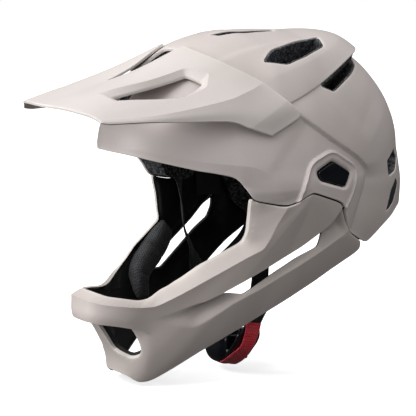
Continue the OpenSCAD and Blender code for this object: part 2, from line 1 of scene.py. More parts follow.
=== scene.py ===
import json
import bpy
import numpy as np
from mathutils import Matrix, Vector

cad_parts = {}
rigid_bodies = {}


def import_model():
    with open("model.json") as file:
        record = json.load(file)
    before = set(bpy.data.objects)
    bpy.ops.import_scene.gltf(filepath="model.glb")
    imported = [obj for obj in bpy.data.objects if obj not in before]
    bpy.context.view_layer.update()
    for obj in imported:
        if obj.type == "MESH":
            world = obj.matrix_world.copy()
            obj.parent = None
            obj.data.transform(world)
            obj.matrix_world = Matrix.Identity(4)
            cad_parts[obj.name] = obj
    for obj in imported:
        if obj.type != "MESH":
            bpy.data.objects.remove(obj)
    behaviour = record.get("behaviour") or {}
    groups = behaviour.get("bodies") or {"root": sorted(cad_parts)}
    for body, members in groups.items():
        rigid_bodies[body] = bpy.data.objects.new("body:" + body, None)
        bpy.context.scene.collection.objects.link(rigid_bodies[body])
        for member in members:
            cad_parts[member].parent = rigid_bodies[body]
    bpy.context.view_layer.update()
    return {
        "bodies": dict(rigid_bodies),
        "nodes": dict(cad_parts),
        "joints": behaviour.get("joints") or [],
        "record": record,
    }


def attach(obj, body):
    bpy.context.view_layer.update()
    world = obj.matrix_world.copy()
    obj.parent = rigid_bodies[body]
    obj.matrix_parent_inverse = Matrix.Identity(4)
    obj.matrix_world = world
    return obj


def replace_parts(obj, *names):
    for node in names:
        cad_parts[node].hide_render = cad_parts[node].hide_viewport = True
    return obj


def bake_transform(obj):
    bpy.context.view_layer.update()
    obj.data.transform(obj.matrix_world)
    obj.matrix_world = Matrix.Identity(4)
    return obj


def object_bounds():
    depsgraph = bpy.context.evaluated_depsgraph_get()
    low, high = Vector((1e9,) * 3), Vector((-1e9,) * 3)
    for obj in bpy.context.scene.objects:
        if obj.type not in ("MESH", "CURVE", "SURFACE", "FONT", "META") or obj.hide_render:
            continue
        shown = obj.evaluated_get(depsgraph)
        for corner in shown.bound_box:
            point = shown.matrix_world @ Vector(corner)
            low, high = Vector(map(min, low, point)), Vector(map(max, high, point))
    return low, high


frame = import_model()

nodes = frame["nodes"]
scene = bpy.context.scene
scene.view_settings.view_transform = "Standard"
mm = 0.001

# camera
cameraSettings = dict(azimuth=62.0, elevation=7.91, target=(0, -0.038, -0.025), distance=1.6936, lens=183.2)


def newObject(name, data):
    made = bpy.data.objects.new(name, data)
    scene.collection.objects.link(made)
    return made


def aimed(name, data, place, direction):
    # camera or lamp at a place, looking along the direction
    made = newObject(name, data)
    made.location = place
    made.rotation_mode = "QUATERNION"
    made.rotation_quaternion = direction.to_track_quat("-Z", "Y")
    return made


def makeCamera(s):
    a, e = np.radians(s["azimuth"]), np.radians(s["elevation"])
    back = Vector((np.sin(a) * np.cos(e), -np.cos(a) * np.cos(e), np.sin(e)))
    data = bpy.data.cameras.new("camera")
    data.lens, data.sensor_width = s["lens"], 36
    data.clip_start, data.clip_end = 0.1, 20
    scene.camera = aimed("camera", data, Vector(s["target"]) + back * s["distance"], -back)


makeCamera(cameraSettings)
print("camera made")


# small tools
def linear(text):
    # sRGB hex text to a linear colour: c/12.92 below 0.04045, else ((c + 0.055)/1.055)^2.4
    c = np.array([int(text[i:i + 2], 16) for i in (1, 3, 5)]) / 255
    c = np.where(c <= 0.04045, c / 12.92, ((c + 0.055) / 1.055) ** 2.4)
    return (float(c[0]), float(c[1]), float(c[2]), 1.0)


def feed(tree, node, inputs):
    # every value is a socket to link from or a plain value
    for key, value in inputs.items():
        if isinstance(value, bpy.types.NodeSocket):
            tree.links.new(value, node.inputs[key])
        else:
            node.inputs[key].default_value = value


def addNode(tree, kind, inputs=None, **settings):
    made = tree.nodes.new(kind)
    for key, value in settings.items():
        setattr(made, key, value)
    feed(tree, made, inputs or {})
    return made


def ease(t):
    # 3t^2 - 2t^3 between 0 and 1
    t = np.clip(t, 0, 1)
    return t * t * (3 - 2 * t)


def outward(points, faces):
    # closed skins face outward: the sum of a . (b x c) over their triangles is positive
    a, b, c = (points[faces[:, i]] for i in range(3))
    return faces if (a * np.cross(b, c)).sum() > 0 else faces[:, ::-1]


def makeMesh(name, points, faces, body, slot, sharp, uv=None, marks=None, material=None):
    # points in mm, faces all with the same number of corners; the object stays at the origin
    faces = outward(points, faces)
    mesh = bpy.data.meshes.new(name)
    count, corners = faces.shape
    mesh.vertices.add(len(points))
    mesh.vertices.foreach_set("co", (points * mm).astype("f").ravel())
    mesh.loops.add(count * corners)
    mesh.loops.foreach_set("vertex_index", faces.astype("i").ravel())
    mesh.polygons.add(count)
    mesh.polygons.foreach_set("loop_start", np.arange(0, count * corners, corners, dtype="i"))
    mesh.update(calc_edges=True)
    for key, value in (marks or {}).items():
        mesh.attributes.new(key, "FLOAT", "POINT").data.foreach_set("value", np.asarray(value, "f"))
    if uv is not None:
        mesh.uv_layers.new(name="UVMap").data.foreach_set("uv", uv[faces.ravel()].astype("f").ravel())
    mesh.validate()
    mesh.shade_smooth()
    if sharp:
        mesh.set_sharp_from_angle(angle=np.radians(sharp))
    piece = newObject(name, mesh)
    mesh.materials.append(material or slotMaterials[slot])
    if body:
        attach(piece, body)
    return piece


# materials
def emptyTree(block):
    # the node tree of a material or world, without its default nodes
    block.use_nodes = True
    block.node_tree.nodes.clear()
    return block.node_tree


def newMaterial(name):
    material = bpy.data.materials.new(name)
    tree = emptyTree(material)
    shader = addNode(tree, "ShaderNodeBsdfPrincipled")
    addNode(tree, "ShaderNodeOutputMaterial", {"Surface": shader.outputs[0]})
    return material, tree, shader, addNode(tree, "ShaderNodeTexCoord").outputs


def ramp(tree, fac, *stops):
    # two stops, each its place and its colour: sRGB hex text or a linear grey
    made = addNode(tree, "ShaderNodeValToRGB", {"Fac": fac})
    for element, (spot, colour) in zip(made.color_ramp.elements, stops):
        element.position = spot
        element.color = linear(colour) if isinstance(colour, str) else (colour, colour, colour, 1)
    return made.outputs[0]


def noise(tree, where, scale, detail=2.0, rough=0.5):
    return addNode(tree, "ShaderNodeTexNoise", {"Vector": where, "Scale": scale, "Detail": detail,
                                                "Roughness": rough}).outputs["Fac"]


def yarns(tree, where, turn, period, direction="X", distortion=0.0, detail=(2.0, 1.0)):
    # raised cosine rows with a period in mm: a wave texture of scale 1 repeats every pi/10
    laid = addNode(tree, "ShaderNodeMapping", {"Vector": where, "Rotation": (0, 0, turn)}).outputs[0]
    return addNode(tree, "ShaderNodeTexWave", {"Vector": laid, "Scale": 0.314 / period,
                                               "Distortion": distortion,
                                               "Detail": detail[0], "Detail Scale": detail[1]},
                   bands_direction=direction).outputs["Fac"]


def mathNode(tree, operation, *values):
    return addNode(tree, "ShaderNodeMath", dict(enumerate(values)), operation=operation).outputs[0]


def mixColours(tree, amount, a, b, blend="MIX"):
    return addNode(tree, "ShaderNodeMix", {0: amount, 6: a, 7: b}, data_type="RGBA",
                   blend_type=blend).outputs[2]


def remap(tree, value, low, high):
    return addNode(tree, "ShaderNodeMapRange", {"Value": value, "To Min": low, "To Max": high}).outputs[0]


def relief(tree, height, strength, distance):
    return addNode(tree, "ShaderNodeBump", {"Height": height, "Strength": strength,
                                            "Distance": distance}).outputs[0]


def satinPaint(name, base, edge, s):
    # satin lacquer over moulded polycarbonate: soft broad gloss, faint orange peel; paler towards its rims, a
    # painted highlight on the rolled edges that is partly edge wear
    material, tree, shader, coords = newMaterial(name)
    where = coords["Object"]
    tone = ramp(tree, noise(tree, where, 14.0, 3.0, 0.55), (0.3, s["darker"]), (0.7, base))
    dust = ramp(tree, noise(tree, where, 1400.0, 1.0), (0.28, 0.86), (0.42, 1))
    # the edge colour, mixed in by the rim attribute, is painted highlight along the skins' rims, partly edge
    # wear
    rim = addNode(tree, "ShaderNodeAttribute", attribute_name="rim").outputs["Fac"]
    colour = mixColours(tree, rim, mixColours(tree, 0.5, tone, dust, "MULTIPLY"), linear(edge))
    feed(tree, shader, {"Base Color": colour, "IOR": 1.5, "Specular IOR Level": s["specular"],
                        "Roughness": remap(tree, noise(tree, where, 60.0, 4.0), *s["rough"]),
                        "Normal": relief(tree, noise(tree, where, 900.0), s["peel"], 0.0001)})
    return material


def beadFoam(name, dark, pale, bead):
    # black EPS moulded from beads: every bead a cell of its own grey, darker joints, dull with a slight skin
    material, tree, shader, coords = newMaterial(name)
    grid = {"Vector": coords["Object"], "Scale": 1 / (bead * mm)}
    cells = addNode(tree, "ShaderNodeTexVoronoi", grid).outputs["Color"]
    joints = addNode(tree, "ShaderNodeTexVoronoi", grid, feature="DISTANCE_TO_EDGE").outputs["Distance"]
    grain = addNode(tree, "ShaderNodeSeparateColor", {"Color": cells}).outputs[0]
    colour = mixColours(tree, 1.0, ramp(tree, grain, (0.1, dark), (0.95, pale)),
                        ramp(tree, joints, (0.0, 0.25), (0.16, 1)), "MULTIPLY")
    feed(tree, shader, {"Base Color": colour, "Normal": relief(tree, joints, 0.5, 0.0006), "Roughness": 0.72,
                        "IOR": 1.45})
    return material


def mouldedPlastic(name, base, pale, roughness, grain, depth):
    # glass-filled nylon from an eroded mould: fine grain that breaks the gloss up, paler in scuffs
    material, tree, shader, coords = newMaterial(name)
    broad = noise(tree, coords["Object"], 55.0, 5.0, 0.6)
    fine = noise(tree, coords["Object"], 1 / (grain * mm), 3.0)
    feed(tree, shader, {"Base Color": ramp(tree, broad, (0.45, base), (0.8, pale)),
                        "Roughness": remap(tree, broad, roughness - 0.06, roughness + 0.08),
                        "Normal": relief(tree, fine, depth, 0.0002), "IOR": 1.53})
    return material


def spacerMesh(name, base, pale, pitch):
    # knitted polyester spacer mesh: two crossing sets of yarn on the cushion's own UV in mm, dark open cells
    material, tree, shader, coords = newMaterial(name)
    knit = mathNode(tree, "MAXIMUM", *(yarns(tree, coords["UV"], turn, pitch, "X", 0.5, (1.0, 0.8))
                                       for turn in (0.62, -0.62)))
    fuzz = mathNode(tree, "MULTIPLY", knit, noise(tree, coords["Object"], 110.0, 3.0))
    feed(tree, shader, {"Base Color": ramp(tree, fuzz, (0.2, base), (0.62, pale)), "Roughness": 0.8,
                        "Normal": relief(tree, knit, 0.8, 0.0006), "Sheen Weight": 0.2,
                        "Sheen Roughness": 0.5})
    return material


def webbingCloth(name, base, pale, across, along, roughness=0.7):
    # woven polyester webbing: raised ribs across the band, slanted yarns between, on the piece's own UV in mm
    material, tree, shader, coords = newMaterial(name)
    weave = mathNode(tree, "MULTIPLY_ADD", yarns(tree, coords["UV"], 0, along, "Y"),
                     yarns(tree, coords["UV"], 0.6, across), 0.15)
    fuzz = mathNode(tree, "MULTIPLY", weave, noise(tree, coords["Object"], 240.0))
    feed(tree, shader, {"Base Color": ramp(tree, fuzz, (0.04, base), (0.45, pale)), "Roughness": roughness,
                        "Normal": relief(tree, weave, 0.7, 0.0004), "Sheen Weight": 0.2})
    return material


def platedSteel(name, base, stain):
    # nickel-plated magnet: bright, turned on its face, with fine rings
    material, tree, shader, coords = newMaterial(name)
    rings = addNode(tree, "ShaderNodeTexWave", wave_type="RINGS", rings_direction="Z",
                    inputs={"Vector": coords["Object"], "Scale": 900.0, "Distortion": 1.5}).outputs["Fac"]
    tone = ramp(tree, noise(tree, coords["Object"], 300.0), (0.3, stain), (0.7, base))
    feed(tree, shader, {"Base Color": tone, "Roughness": remap(tree, rings, 0.22, 0.36), "Metallic": 1.0})
    return material


paintSettings = dict(darker="#C0B7B2", rough=(0.40, 0.50), peel=0.06, specular=0.45)
# the third colour of each satin paint is its edge colour: painted highlight along the rims, partly edge wear
slotMaterials = dict(
    shell_paint=satinPaint("satinPaintShell", "#C9BFBD", "#DDD5D0", paintSettings),
    visor_paint=satinPaint("satinPaintVisor", "#CEC6C3", "#DDD7D2", dict(paintSettings, darker="#C7BFBA")),
    bar_paint=satinPaint("satinPaintBar", "#BFB5B2", "#DAD2CC", dict(paintSettings, darker="#B7AEA8")),
    foam=beadFoam("beadFoamBlack", "#0B0B0D", "#6E6F74", 1.6),
    pad_fabric=spacerMesh("spacerMeshBlack", "#070709", "#3A3C42", 1.9),
    webbing=webbingCloth("wovenWebbingBlack", "#08080A", "#26272B", 1.5, 1.6),
    red_webbing=webbingCloth("wovenWebbingRed", "#E0182E", "#FF5A6A", 1.5, 2.0, 0.4),
    magnet_steel=platedSteel("nickelPlatedSteel", "#C4C1BC", "#8F8C88"),
    black_gloss=mouldedPlastic("polishedPolycarbonateBlack", "#0B0D13", "#12151D", 0.16, 1.5, 0.02),
    black_plastic=mouldedPlastic("mouldedNylonBlack", "#121316", "#1D1E22", 0.5, 0.5, 0.25))
linerBlack = mouldedPlastic("skinnedFoamBlack", "#0A0A0C", "#131316", 0.62, 2.2, 0.2)
for part in frame["record"]["subparts"]:
    mesh = nodes[part["node"]].data
    mesh.materials.clear()
    mesh.materials.append(slotMaterials[part["material_slot"]])
print("materials made")

# helmet form: the same rings of radius, boxiness and narrowing as the solids, in mm
formSettings = dict(halfWidth=105.0, profileSpread=1.2)
sideProfile = np.array([
    [126.5, 30], [124.5, 42], [119, 56], [108, 74], [88, 93], [66.5, 106.5], [45, 113.4], [17, 117.6],
    [0, 118], [-28, 116], [-50, 111.5], [-72, 102.5], [-87, 93], [-100, 80], [-110, 66.8], [-118, 50],
    [-121, 38], [-121.5, 25], [-124, 10], [-126, -4], [-125, -18], [-123, -32], [-120, -46], [-112, -66],
    [-95, -88], [-60, -112], [0, -138], [50, -157], [90, -167], [112, -165], [124, -152], [131, -134],
    [140, -118], [149, -104], [151.5, -90], [148, -74], [141, -50], [134, -20], [129, 5]])
boxiness = np.array([[0, 2.2], [45, 2.2], [90, 2.25], [125, 2.05], [160, 2], [190, 2.1], [220, 2.4], [270, 3],
                     [310, 3.6], [330, 3.4], [360, 2.2]])
narrowing = np.array([[0, 0.16], [45, 0.1], [90, 0], [180, 0], [230, 0.05], [270, 0.25], [305, 0.62],
                      [328, 0.62], [345, 0.35], [360, 0.16]])
turns = np.arange(0, 360, 0.5)


def ringTable(angles, values, sigma):
    # values at every half degree of the ring, smoothed by a Gaussian of sigma degrees
    table = np.interp(turns, angles, values, period=360)
    reach = np.arange(-40, 41)
    weights = np.exp(-0.5 * (reach * 0.5 / sigma) ** 2)
    return np.sum([np.roll(table, k) * w for k, w in zip(reach, weights)], 0) / weights.sum()


profileAngles = np.degrees(np.arctan2(sideProfile[:, 1], sideProfile[:, 0])) % 360
radiusRing = ringTable(profileAngles, np.hypot(sideProfile[:, 0], sideProfile[:, 1]),
                       formSettings["profileSpread"])
boxRing = ringTable(boxiness[:, 0], boxiness[:, 1], 4)
narrowRing = ringTable(narrowing[:, 0], narrowing[:, 1], 4)


def ringAt(a):
    # boxiness, narrowing and radius of the form at ring angle a in degrees
    return [np.interp(a, turns, ring, period=360) for ring in (boxRing, narrowRing, radiusRing)]


def halfWidth(s, n, narrow, d):
    # half width at share s of the radius: (W + d)(1 - s^n)^(1/n)(1 - narrowing s (1 - e^(-s/0.1)))
    full = (formSettings["halfWidth"] + d) * np.maximum(0, 1 - s ** n) ** (1 / n)
    return full * (1 - narrow * s * (1 - np.exp(-s / 0.1)))


def formPoint(a, t, d=0.0):
    # ring angle a, t degrees out from the middle plane, offset d: s = cos t and radius = (ring radius + d) s
    s = np.cos(np.radians(t))
    n, narrow, radius = ringAt(a)
    r = (radius + d) * s
    return np.stack([halfWidth(s, n, narrow, d), -r * np.cos(np.radians(a)), r * np.sin(np.radians(a))], -1)


def formAt(data, d=0.0):
    return formPoint(data[:, 0], data[:, 1], d)


def behindPoint(data, d, deep):
    # the point of the form at offset deep that lies behind the one at offset d: straight along X at the sides
    radius = ringAt(data[:, 0])[2]
    straight = ease((formAt(data, d)[:, 0] - 45) / 20) * ((radius + d) / (radius + deep) - 1)
    s = np.minimum(np.cos(np.radians(data[:, 1])) * (1 + straight), 1)
    return formPoint(data[:, 0], np.degrees(np.arccos(s)), deep)


def halves(quads):
    return np.vstack([quads[:, [0, 1, 2]], quads[:, [0, 2, 3]]])


def whole(tris):
    # without the triangles that use a point twice
    return tris[(tris[:, 0] != tris[:, 1]) & (tris[:, 1] != tris[:, 2]) & (tris[:, 2] != tris[:, 0])]


def formGrid(step, rows, passes):
    # half of the form, a pole at the ear: columns every step degrees, rows at 1 - (1 - k)^1.3 of the arc;
    # only the triangles whose corners all pass stay
    a = np.arange(0, 360, step)
    t = np.concatenate([np.linspace(0, 6, 60) ** 2 / 6, np.linspace(6, 89.2, 160)[1:]])
    line = formPoint(a[:, None], t[None, :] + 0 * a[:, None])
    lengths = np.linalg.norm(np.diff(line, axis=1), axis=2)
    run = np.concatenate([np.zeros((len(a), 1)), np.cumsum(lengths, 1)], 1)
    wanted = 1 - (1 - np.linspace(0, 1, rows)) ** 1.3
    rowT = np.stack([np.interp(wanted * r[-1], r, t) for r in run])
    data = np.vstack([np.stack([np.repeat(a, rows), rowT.ravel()], 1), [[0, 90]]])
    i, k = np.arange(len(a))[:, None] * rows, np.arange(rows - 1)[None, :]
    p, q = i + k, (i + rows) % (len(a) * rows) + k
    last = np.arange(len(a)) * rows + rows - 1
    fan = np.stack([last, np.roll(last, -1), np.full(len(a), len(data) - 1)], 1)
    tris = np.vstack([halves(np.stack([p, q, q + 1, p + 1], -1).reshape(-1, 4)), fan])
    return data, tris[passes(data)[tris].all(1)]


def distances(points, starts, ends):
    # squared distance and side of every point to every straight piece
    span = ends - starts
    rel = points[:, None, :] - starts[None]
    along = np.clip((rel * span).sum(2) / np.maximum((span ** 2).sum(1), 1e-9), 0, 1)
    off = rel - along[..., None] * span
    return (off ** 2).sum(2), span[:, 0] * rel[..., 1] - span[:, 1] * rel[..., 0], along


def inside(points, outline):
    # distance to the nearest side of a closed outline, positive inside it
    outline = np.asarray(outline, float)
    a, b = outline, np.roll(outline, -1, 0)
    square, _, _ = distances(points, a, b)
    y = points[:, None, 1]
    crosses = (a[None, :, 1] > y) != (b[None, :, 1] > y)
    slope = (b[:, 0] - a[:, 0]) / np.where(b[:, 1] == a[:, 1], 1e-9, b[:, 1] - a[:, 1])
    hits = crosses & (points[:, None, 0] < a[None, :, 0] + (y - a[None, :, 1]) * slope[None])
    return np.sqrt(square.min(1)) * np.where(hits.sum(1) % 2 == 1, 1, -1)


def beside(points, line):
    # signed distance to an open line (positive on its left) and how far along it the nearest point is
    line = np.asarray(line, float)
    square, cross, along = distances(points, line[:-1], line[1:])
    length = np.linalg.norm(line[1:] - line[:-1], axis=1)
    nearest = (square - 1e-3 * np.abs(cross) / length).argmin(1)
    pick = np.arange(len(points))
    before = np.concatenate([[0], np.cumsum(length)])
    return (np.sqrt(square[pick, nearest]) * np.sign(cross[pick, nearest]),
            (before[nearest] + along[pick, nearest] * length[nearest]) / before[-1])


def rounded(corners, radius, steps=5, closed=True):
    # every corner replaced by a quadratic curve that starts and ends at most radius from it
    c = np.asarray(corners, float)
    before, after = np.roll(c, 1, 0) - c, np.roll(c, -1, 0) - c
    size = lambda v: np.linalg.norm(v, axis=1)[:, None]
    p, q = (c + v * (np.minimum(radius, 0.45 * size(v)) / size(v)) for v in (before, after))
    t = np.linspace(0, 1, steps)[None, :, None]
    out = ((1 - t) ** 2 * p[:, None] + 2 * t * (1 - t) * c[:, None] + t ** 2 * q[:, None])
    if closed:
        return out.reshape(-1, c.shape[1])
    return np.vstack([c[:1], out[1:-1].reshape(-1, c.shape[1]), c[-1:]])


def cut(data, fields, tris, column, level, fieldsOf, ring, near=0.04):
    # splits the triangles along fields[column] = level, adding points on the edges that cross it;
    # points nearer than near count as lying on it
    value = fields[:, column] - level
    sign = np.where(np.abs(value) < near, 0, np.sign(value)).astype(int)
    ends = tris[:, [[0, 1], [1, 2], [2, 0]]]
    crossing = sign[ends[..., 0]] * sign[ends[..., 1]] < 0
    many = crossing.sum(1)
    if not many.any():
        return data, fields, tris
    low, high = ends.min(2), ends.max(2)
    keys, back = np.unique(low[crossing] * len(data) + high[crossing], return_inverse=True)
    p, q = keys // len(data), keys % len(data)
    w = (value[p] / (value[p] - value[q]))[:, None]
    step = data[q] - data[p]
    if ring:
        step[:, 0] = (step[:, 0] + 180) % 360 - 180
    added = data[p] + w * step
    if ring:
        added[:, 0] %= 360
    index = np.full(crossing.shape, -1)
    index[crossing] = len(data) + back
    newFields = fieldsOf(added)
    newFields[:, column] = level
    out = [tris[many == 0]]
    one = many == 1
    if one.any():
        turn = (crossing[one].argmax(1) + 2) % 3                  # corner opposite the split edge comes first
        order = (turn[:, None] + np.arange(3)) % 3
        t = np.take_along_axis(tris[one], order, 1)
        m = index[one][np.arange(one.sum()), (turn + 1) % 3]
        out += [np.stack([t[:, 0], t[:, 1], m], 1), np.stack([t[:, 0], m, t[:, 2]], 1)]
    two = many == 2
    if two.any():
        # corner between the two split edges comes first
        turn = ((~crossing[two]).argmax(1) + 2) % 3
        order = (turn[:, None] + np.arange(3)) % 3
        t = np.take_along_axis(tris[two], order, 1)
        e = np.take_along_axis(index[two], order, 1)
        out += [np.stack([t[:, 0], e[:, 0], e[:, 2]], 1), np.stack([e[:, 0], t[:, 1], t[:, 2]], 1),
                np.stack([e[:, 0], t[:, 2], e[:, 2]], 1)]
    return np.vstack([data, added]), np.vstack([fields, newFields]), np.vstack(out)


def carve(data, tris, fieldsOf, columns, cuts, ring=True):
    # cuts along every level of each named column and keeps what lies inside the edge
    fields = fieldsOf(data)
    for name, *levels in cuts:
        for level in levels:
            data, fields, tris = cut(data, fields, tris, columns.index(name), level, fieldsOf, ring)
            if name == "edge" and level == 0:
                tris = tris[fields[tris, 0].sum(1) > 0]
                used, tris = np.unique(tris, return_inverse=True)
                tris, data, fields = tris.reshape(-1, 3), data[used], fields[used]
    return data, fields, tris


def openEdges(tris):
    # edges that only one triangle has, in that triangle's direction
    e = tris[:, [[0, 1], [1, 2], [2, 0]]].reshape(-1, 2)
    key = np.sort(e, 1) @ np.array([1, int(tris.max()) + 1])
    _, back, times = np.unique(key, return_inverse=True, return_counts=True)
    return e[times[back] == 1]


def wall(outer, inner, tris, middle, rows=1):
    # closed wall between an outer and an inner skin with the same triangles; no rim along the middle plane
    n, e = len(outer), openEdges(tris)
    e = e[~middle[e].all(1)]
    faces = [tris, tris[:, ::-1] + rows * n]
    for k in range(rows):
        a, b = e[:, 1] + k * n, e[:, 0] + k * n
        faces += [np.stack([a, b, b + n], 1), np.stack([a, b + n, a + n], 1)]
    points = np.vstack([outer * (1 - k / rows) + inner * (k / rows) for k in range(rows + 1)])
    used, faces = np.unique(np.vstack(faces), return_inverse=True)
    return points[used], faces.reshape(-1, 3), np.concatenate([middle] * (rows + 1))[used]


def mirrored(points, tris, middle, marks=None):
    # the other half, joined along the points of the middle plane
    points = points.copy()
    points[middle, 0] = 0
    other = np.where(middle, np.arange(len(points)), 0)
    other[~middle] = len(points) + np.arange((~middle).sum())
    twin = points[~middle] * [-1, 1, 1]
    marks = {k: np.concatenate([v, v[~middle]]) for k, v in (marks or {}).items()}
    return np.vstack([points, twin]), np.vstack([tris, other[tris[:, ::-1]]]), marks


def makeSkin(name, outer, inner, tris, middle, body, slot, sharp, rim=None, rows=1, material=None):
    # a half closed by its wall and joined to its mirror image
    points, faces, both = wall(outer, inner, tris, middle, rows)
    # rim: the weight of the painted rim highlight (partly edge wear), kept as a point attribute
    marks = None if rim is None else dict(rim=np.concatenate([rim, rim]))
    points, faces, marks = mirrored(points, faces, both, marks)
    return makeMesh(name, points, faces, body, slot, sharp, marks=marks, material=material)


# outlines seen from the side, as [forward, height] in mm
shellEdge = [
    [160, 26], [127, 26], [113, 22], [99, 18.5], [85, 15], [78, 14], [64, 11], [60, 9], [55, 3], [48, -7],
    [43, -9], [26, -12], [21, -12], [15, -10], [8, -5], [4, -3], [1, -3], [-22, -11], [-26, -14], [-29, -22],
    [-33, -33], [-37, -38], [-49, -45], [-55, -48], [-64, -41.5], [-76, -34.5], [-89, -29], [-97, -25],
    [-150, -16]]
shellOutline = shellEdge + [[-150, 150], [160, 150]]
barOutline = [
    [49, 12], [-47.5, 12], [-47.5, -51.5], [-43, -54.5], [-22, -67], [1, -83], [35, -106], [71, -129],
    [98, -149], [105, -154], [112, -155.5], [120, -151.5], [170, -140], [170, -83], [150.3, -83.7],
    [146.8, -85.1], [137.2, -86.1], [126, -87.6], [121.9, -88.2], [117, -88.6], [109.9, -84.2],
    [95.4, -75.7], [81.1, -64], [69.9, -57.4], [58.7, -50.4], [51.3, -45.9], [48.7, -42.2], [47.3, -33.5],
    [47.7, -21.1], [48.8, -12.6]]
releaseWindow = [[-16, 21], [-33, 11], [-27, -1], [-3, 6], [0, 13]]
barSlot = [[66, -85], [63, -82], [41, -69], [7, -47], [-7, -36], [-15, -31], [-13, -39.5], [-9, -47.5],
           [7, -56.5], [46, -83.5]]
# openings as [x, forward, height] corners on the left surface, with the radius that rounds their corners
openings = dict(
    crownSlot=([[9, 42, 114], [12, 18, 117], [11, -14, 117], [17, -14, 116.5], [22, 18, 115.5],
                [19, 38, 113]], 0.8),
    sideVent=([[58, 14, 103], [35, -40, 108], [50, -37, 102], [66, -12, 97], [73, 8, 91], [66, 26, 94]], 3.5),
    rearVent=([[83, -16, 78], [83, -29, 72], [62, -58, 84], [48, -69, 89], [36, -74, 96], [63, -46, 89],
               [75, -29, 83]], 3),
    lowVent=([[65, -95.5, 23], [60, -101, 14], [69, -94, 5.5], [81, -81.5, 2.5], [80.5, -80, 15]], 2),
    lowPort=([[71, -94.5, 0.5], [69, -98, -6], [76.5, -90, -19], [85.5, -79, -26], [80.5, -86, -9]], 2),
    frontVent=([[11, 72, 103], [13, 90, 91], [12, 104, 79], [9, 115, 61], [-9, 115, 61], [-12, 104, 79],
                [-13, 90, 91], [-11, 72, 103]], 5),
    napeVent=([[10, -116, 54], [22, -112, 54], [24, -112, 34], [10, -118, 30]], 3))
chinVent = [[10, 147, -105.8], [20, 144, -106.5], [29, 132, -108.5], [31, 128, -111], [34, 119, -125],
            [34, 117, -131], [31, 118, -136], [24, 122, -139], [10, 131.5, -133], [9, 136, -124],
            [8, 141, -115]]
shellShape, windowShape = rounded(shellOutline, 5), rounded(releaseWindow, 3)


def sideView(data):
    # forward and height of every form point, before any offset
    p = formPoint(data[:, 0], data[:, 1])
    return p, np.stack([-p[:, 1], p[:, 2]], 1)


def lookingIn(points, corners, corner, centre=(0, 0, 0)):
    # distance to an opening's outline, on the plane that faces the centre through the opening's middle
    c = np.array([[x, -f, z] for x, f, z in corners], float) - centre
    axis = c.mean(0)
    size = np.linalg.norm(axis)
    axis /= size
    across = np.cross(axis, [0, 0, 1.0])
    across /= np.linalg.norm(across)
    up = np.cross(across, axis)
    rel = points - np.asarray(centre, float)
    deep = rel @ axis
    scale = size / np.maximum(deep, 1e-3)
    flat = np.stack([rel @ across * scale, rel @ up * scale], 1)
    scale = size / (c @ axis)
    outline = rounded(np.stack([c @ across * scale, c @ up * scale], 1), corner)
    found = inside(flat, outline)
    return np.where(deep > 0.3 * size, np.maximum(found, -60), -60)


def ventFields(points, skip=None):
    # how far every point lies inside each opening; the rear vents look at a point behind and above the middle
    return [lookingIn(points, corners, corner, (0, -10, 20) if key == "rearVent" else (0, 0, 0))
            for key, (corners, corner) in openings.items() if key != skip]


# painted shell
shellSettings = dict(
    step=0.85, rows=74, lowest=-62, wall=2.6, roll=0.8,
    ridge=[[52, 71], [37, 78], [17, 84], [-3, 90], [-24, 96], [-45, 100.5], [-66, 104.5], [-100, 111]],
    lip=[[34, 54], [24, 60], [15, 65], [-4, 73], [-16, 78], [-29, 83], [-46, 89], [-74, 95.5], [-110, 103]],
    valley=[[13, 58], [7, 54], [-15, 38], [-44, 20], [-54, 10], [-51, -1], [-43, -20], [-36, -40]],
    crown=[[63, 51], [45, 50.5], [28, 51], [9, 49], [-10, 45], [-30, 37], [-50, 27]],
    brow=[[140, 33], [125, 30], [113, 28], [85, 22], [45, 18], [35, 10], [21, -12]],
    frame=[[17, -20], [14, -5], [5, 21], [-16, 30], [-41, 15], [-37, -3], [-28, -18], [-20, -30]],
    rear=[[-90, 60], [-65, 38], [-53, 27]])
shellColumns = "edge ridge lip valley valleyAlong crown crownAlong brow frame window rear rearAlong".split()


def shellFields(data):
    s = shellSettings
    p, f = sideView(data)
    window = inside(f, windowShape)
    return np.stack([np.min([inside(f, shellShape), -window] + [-v for v in ventFields(p)], 0),
                     beside(f, s["ridge"])[0], beside(f, s["lip"])[0],
                     *beside(f, rounded(s["valley"], 9, closed=False)),
                     *beside(np.stack([f[:, 0], np.abs(p[:, 0])], 1), rounded(s["crown"], 8, closed=False)),
                     beside(f, rounded(s["brow"], 8, closed=False))[0],
                     inside(f, rounded(s["frame"], 7)), window, *beside(f, s["rear"])], 1)


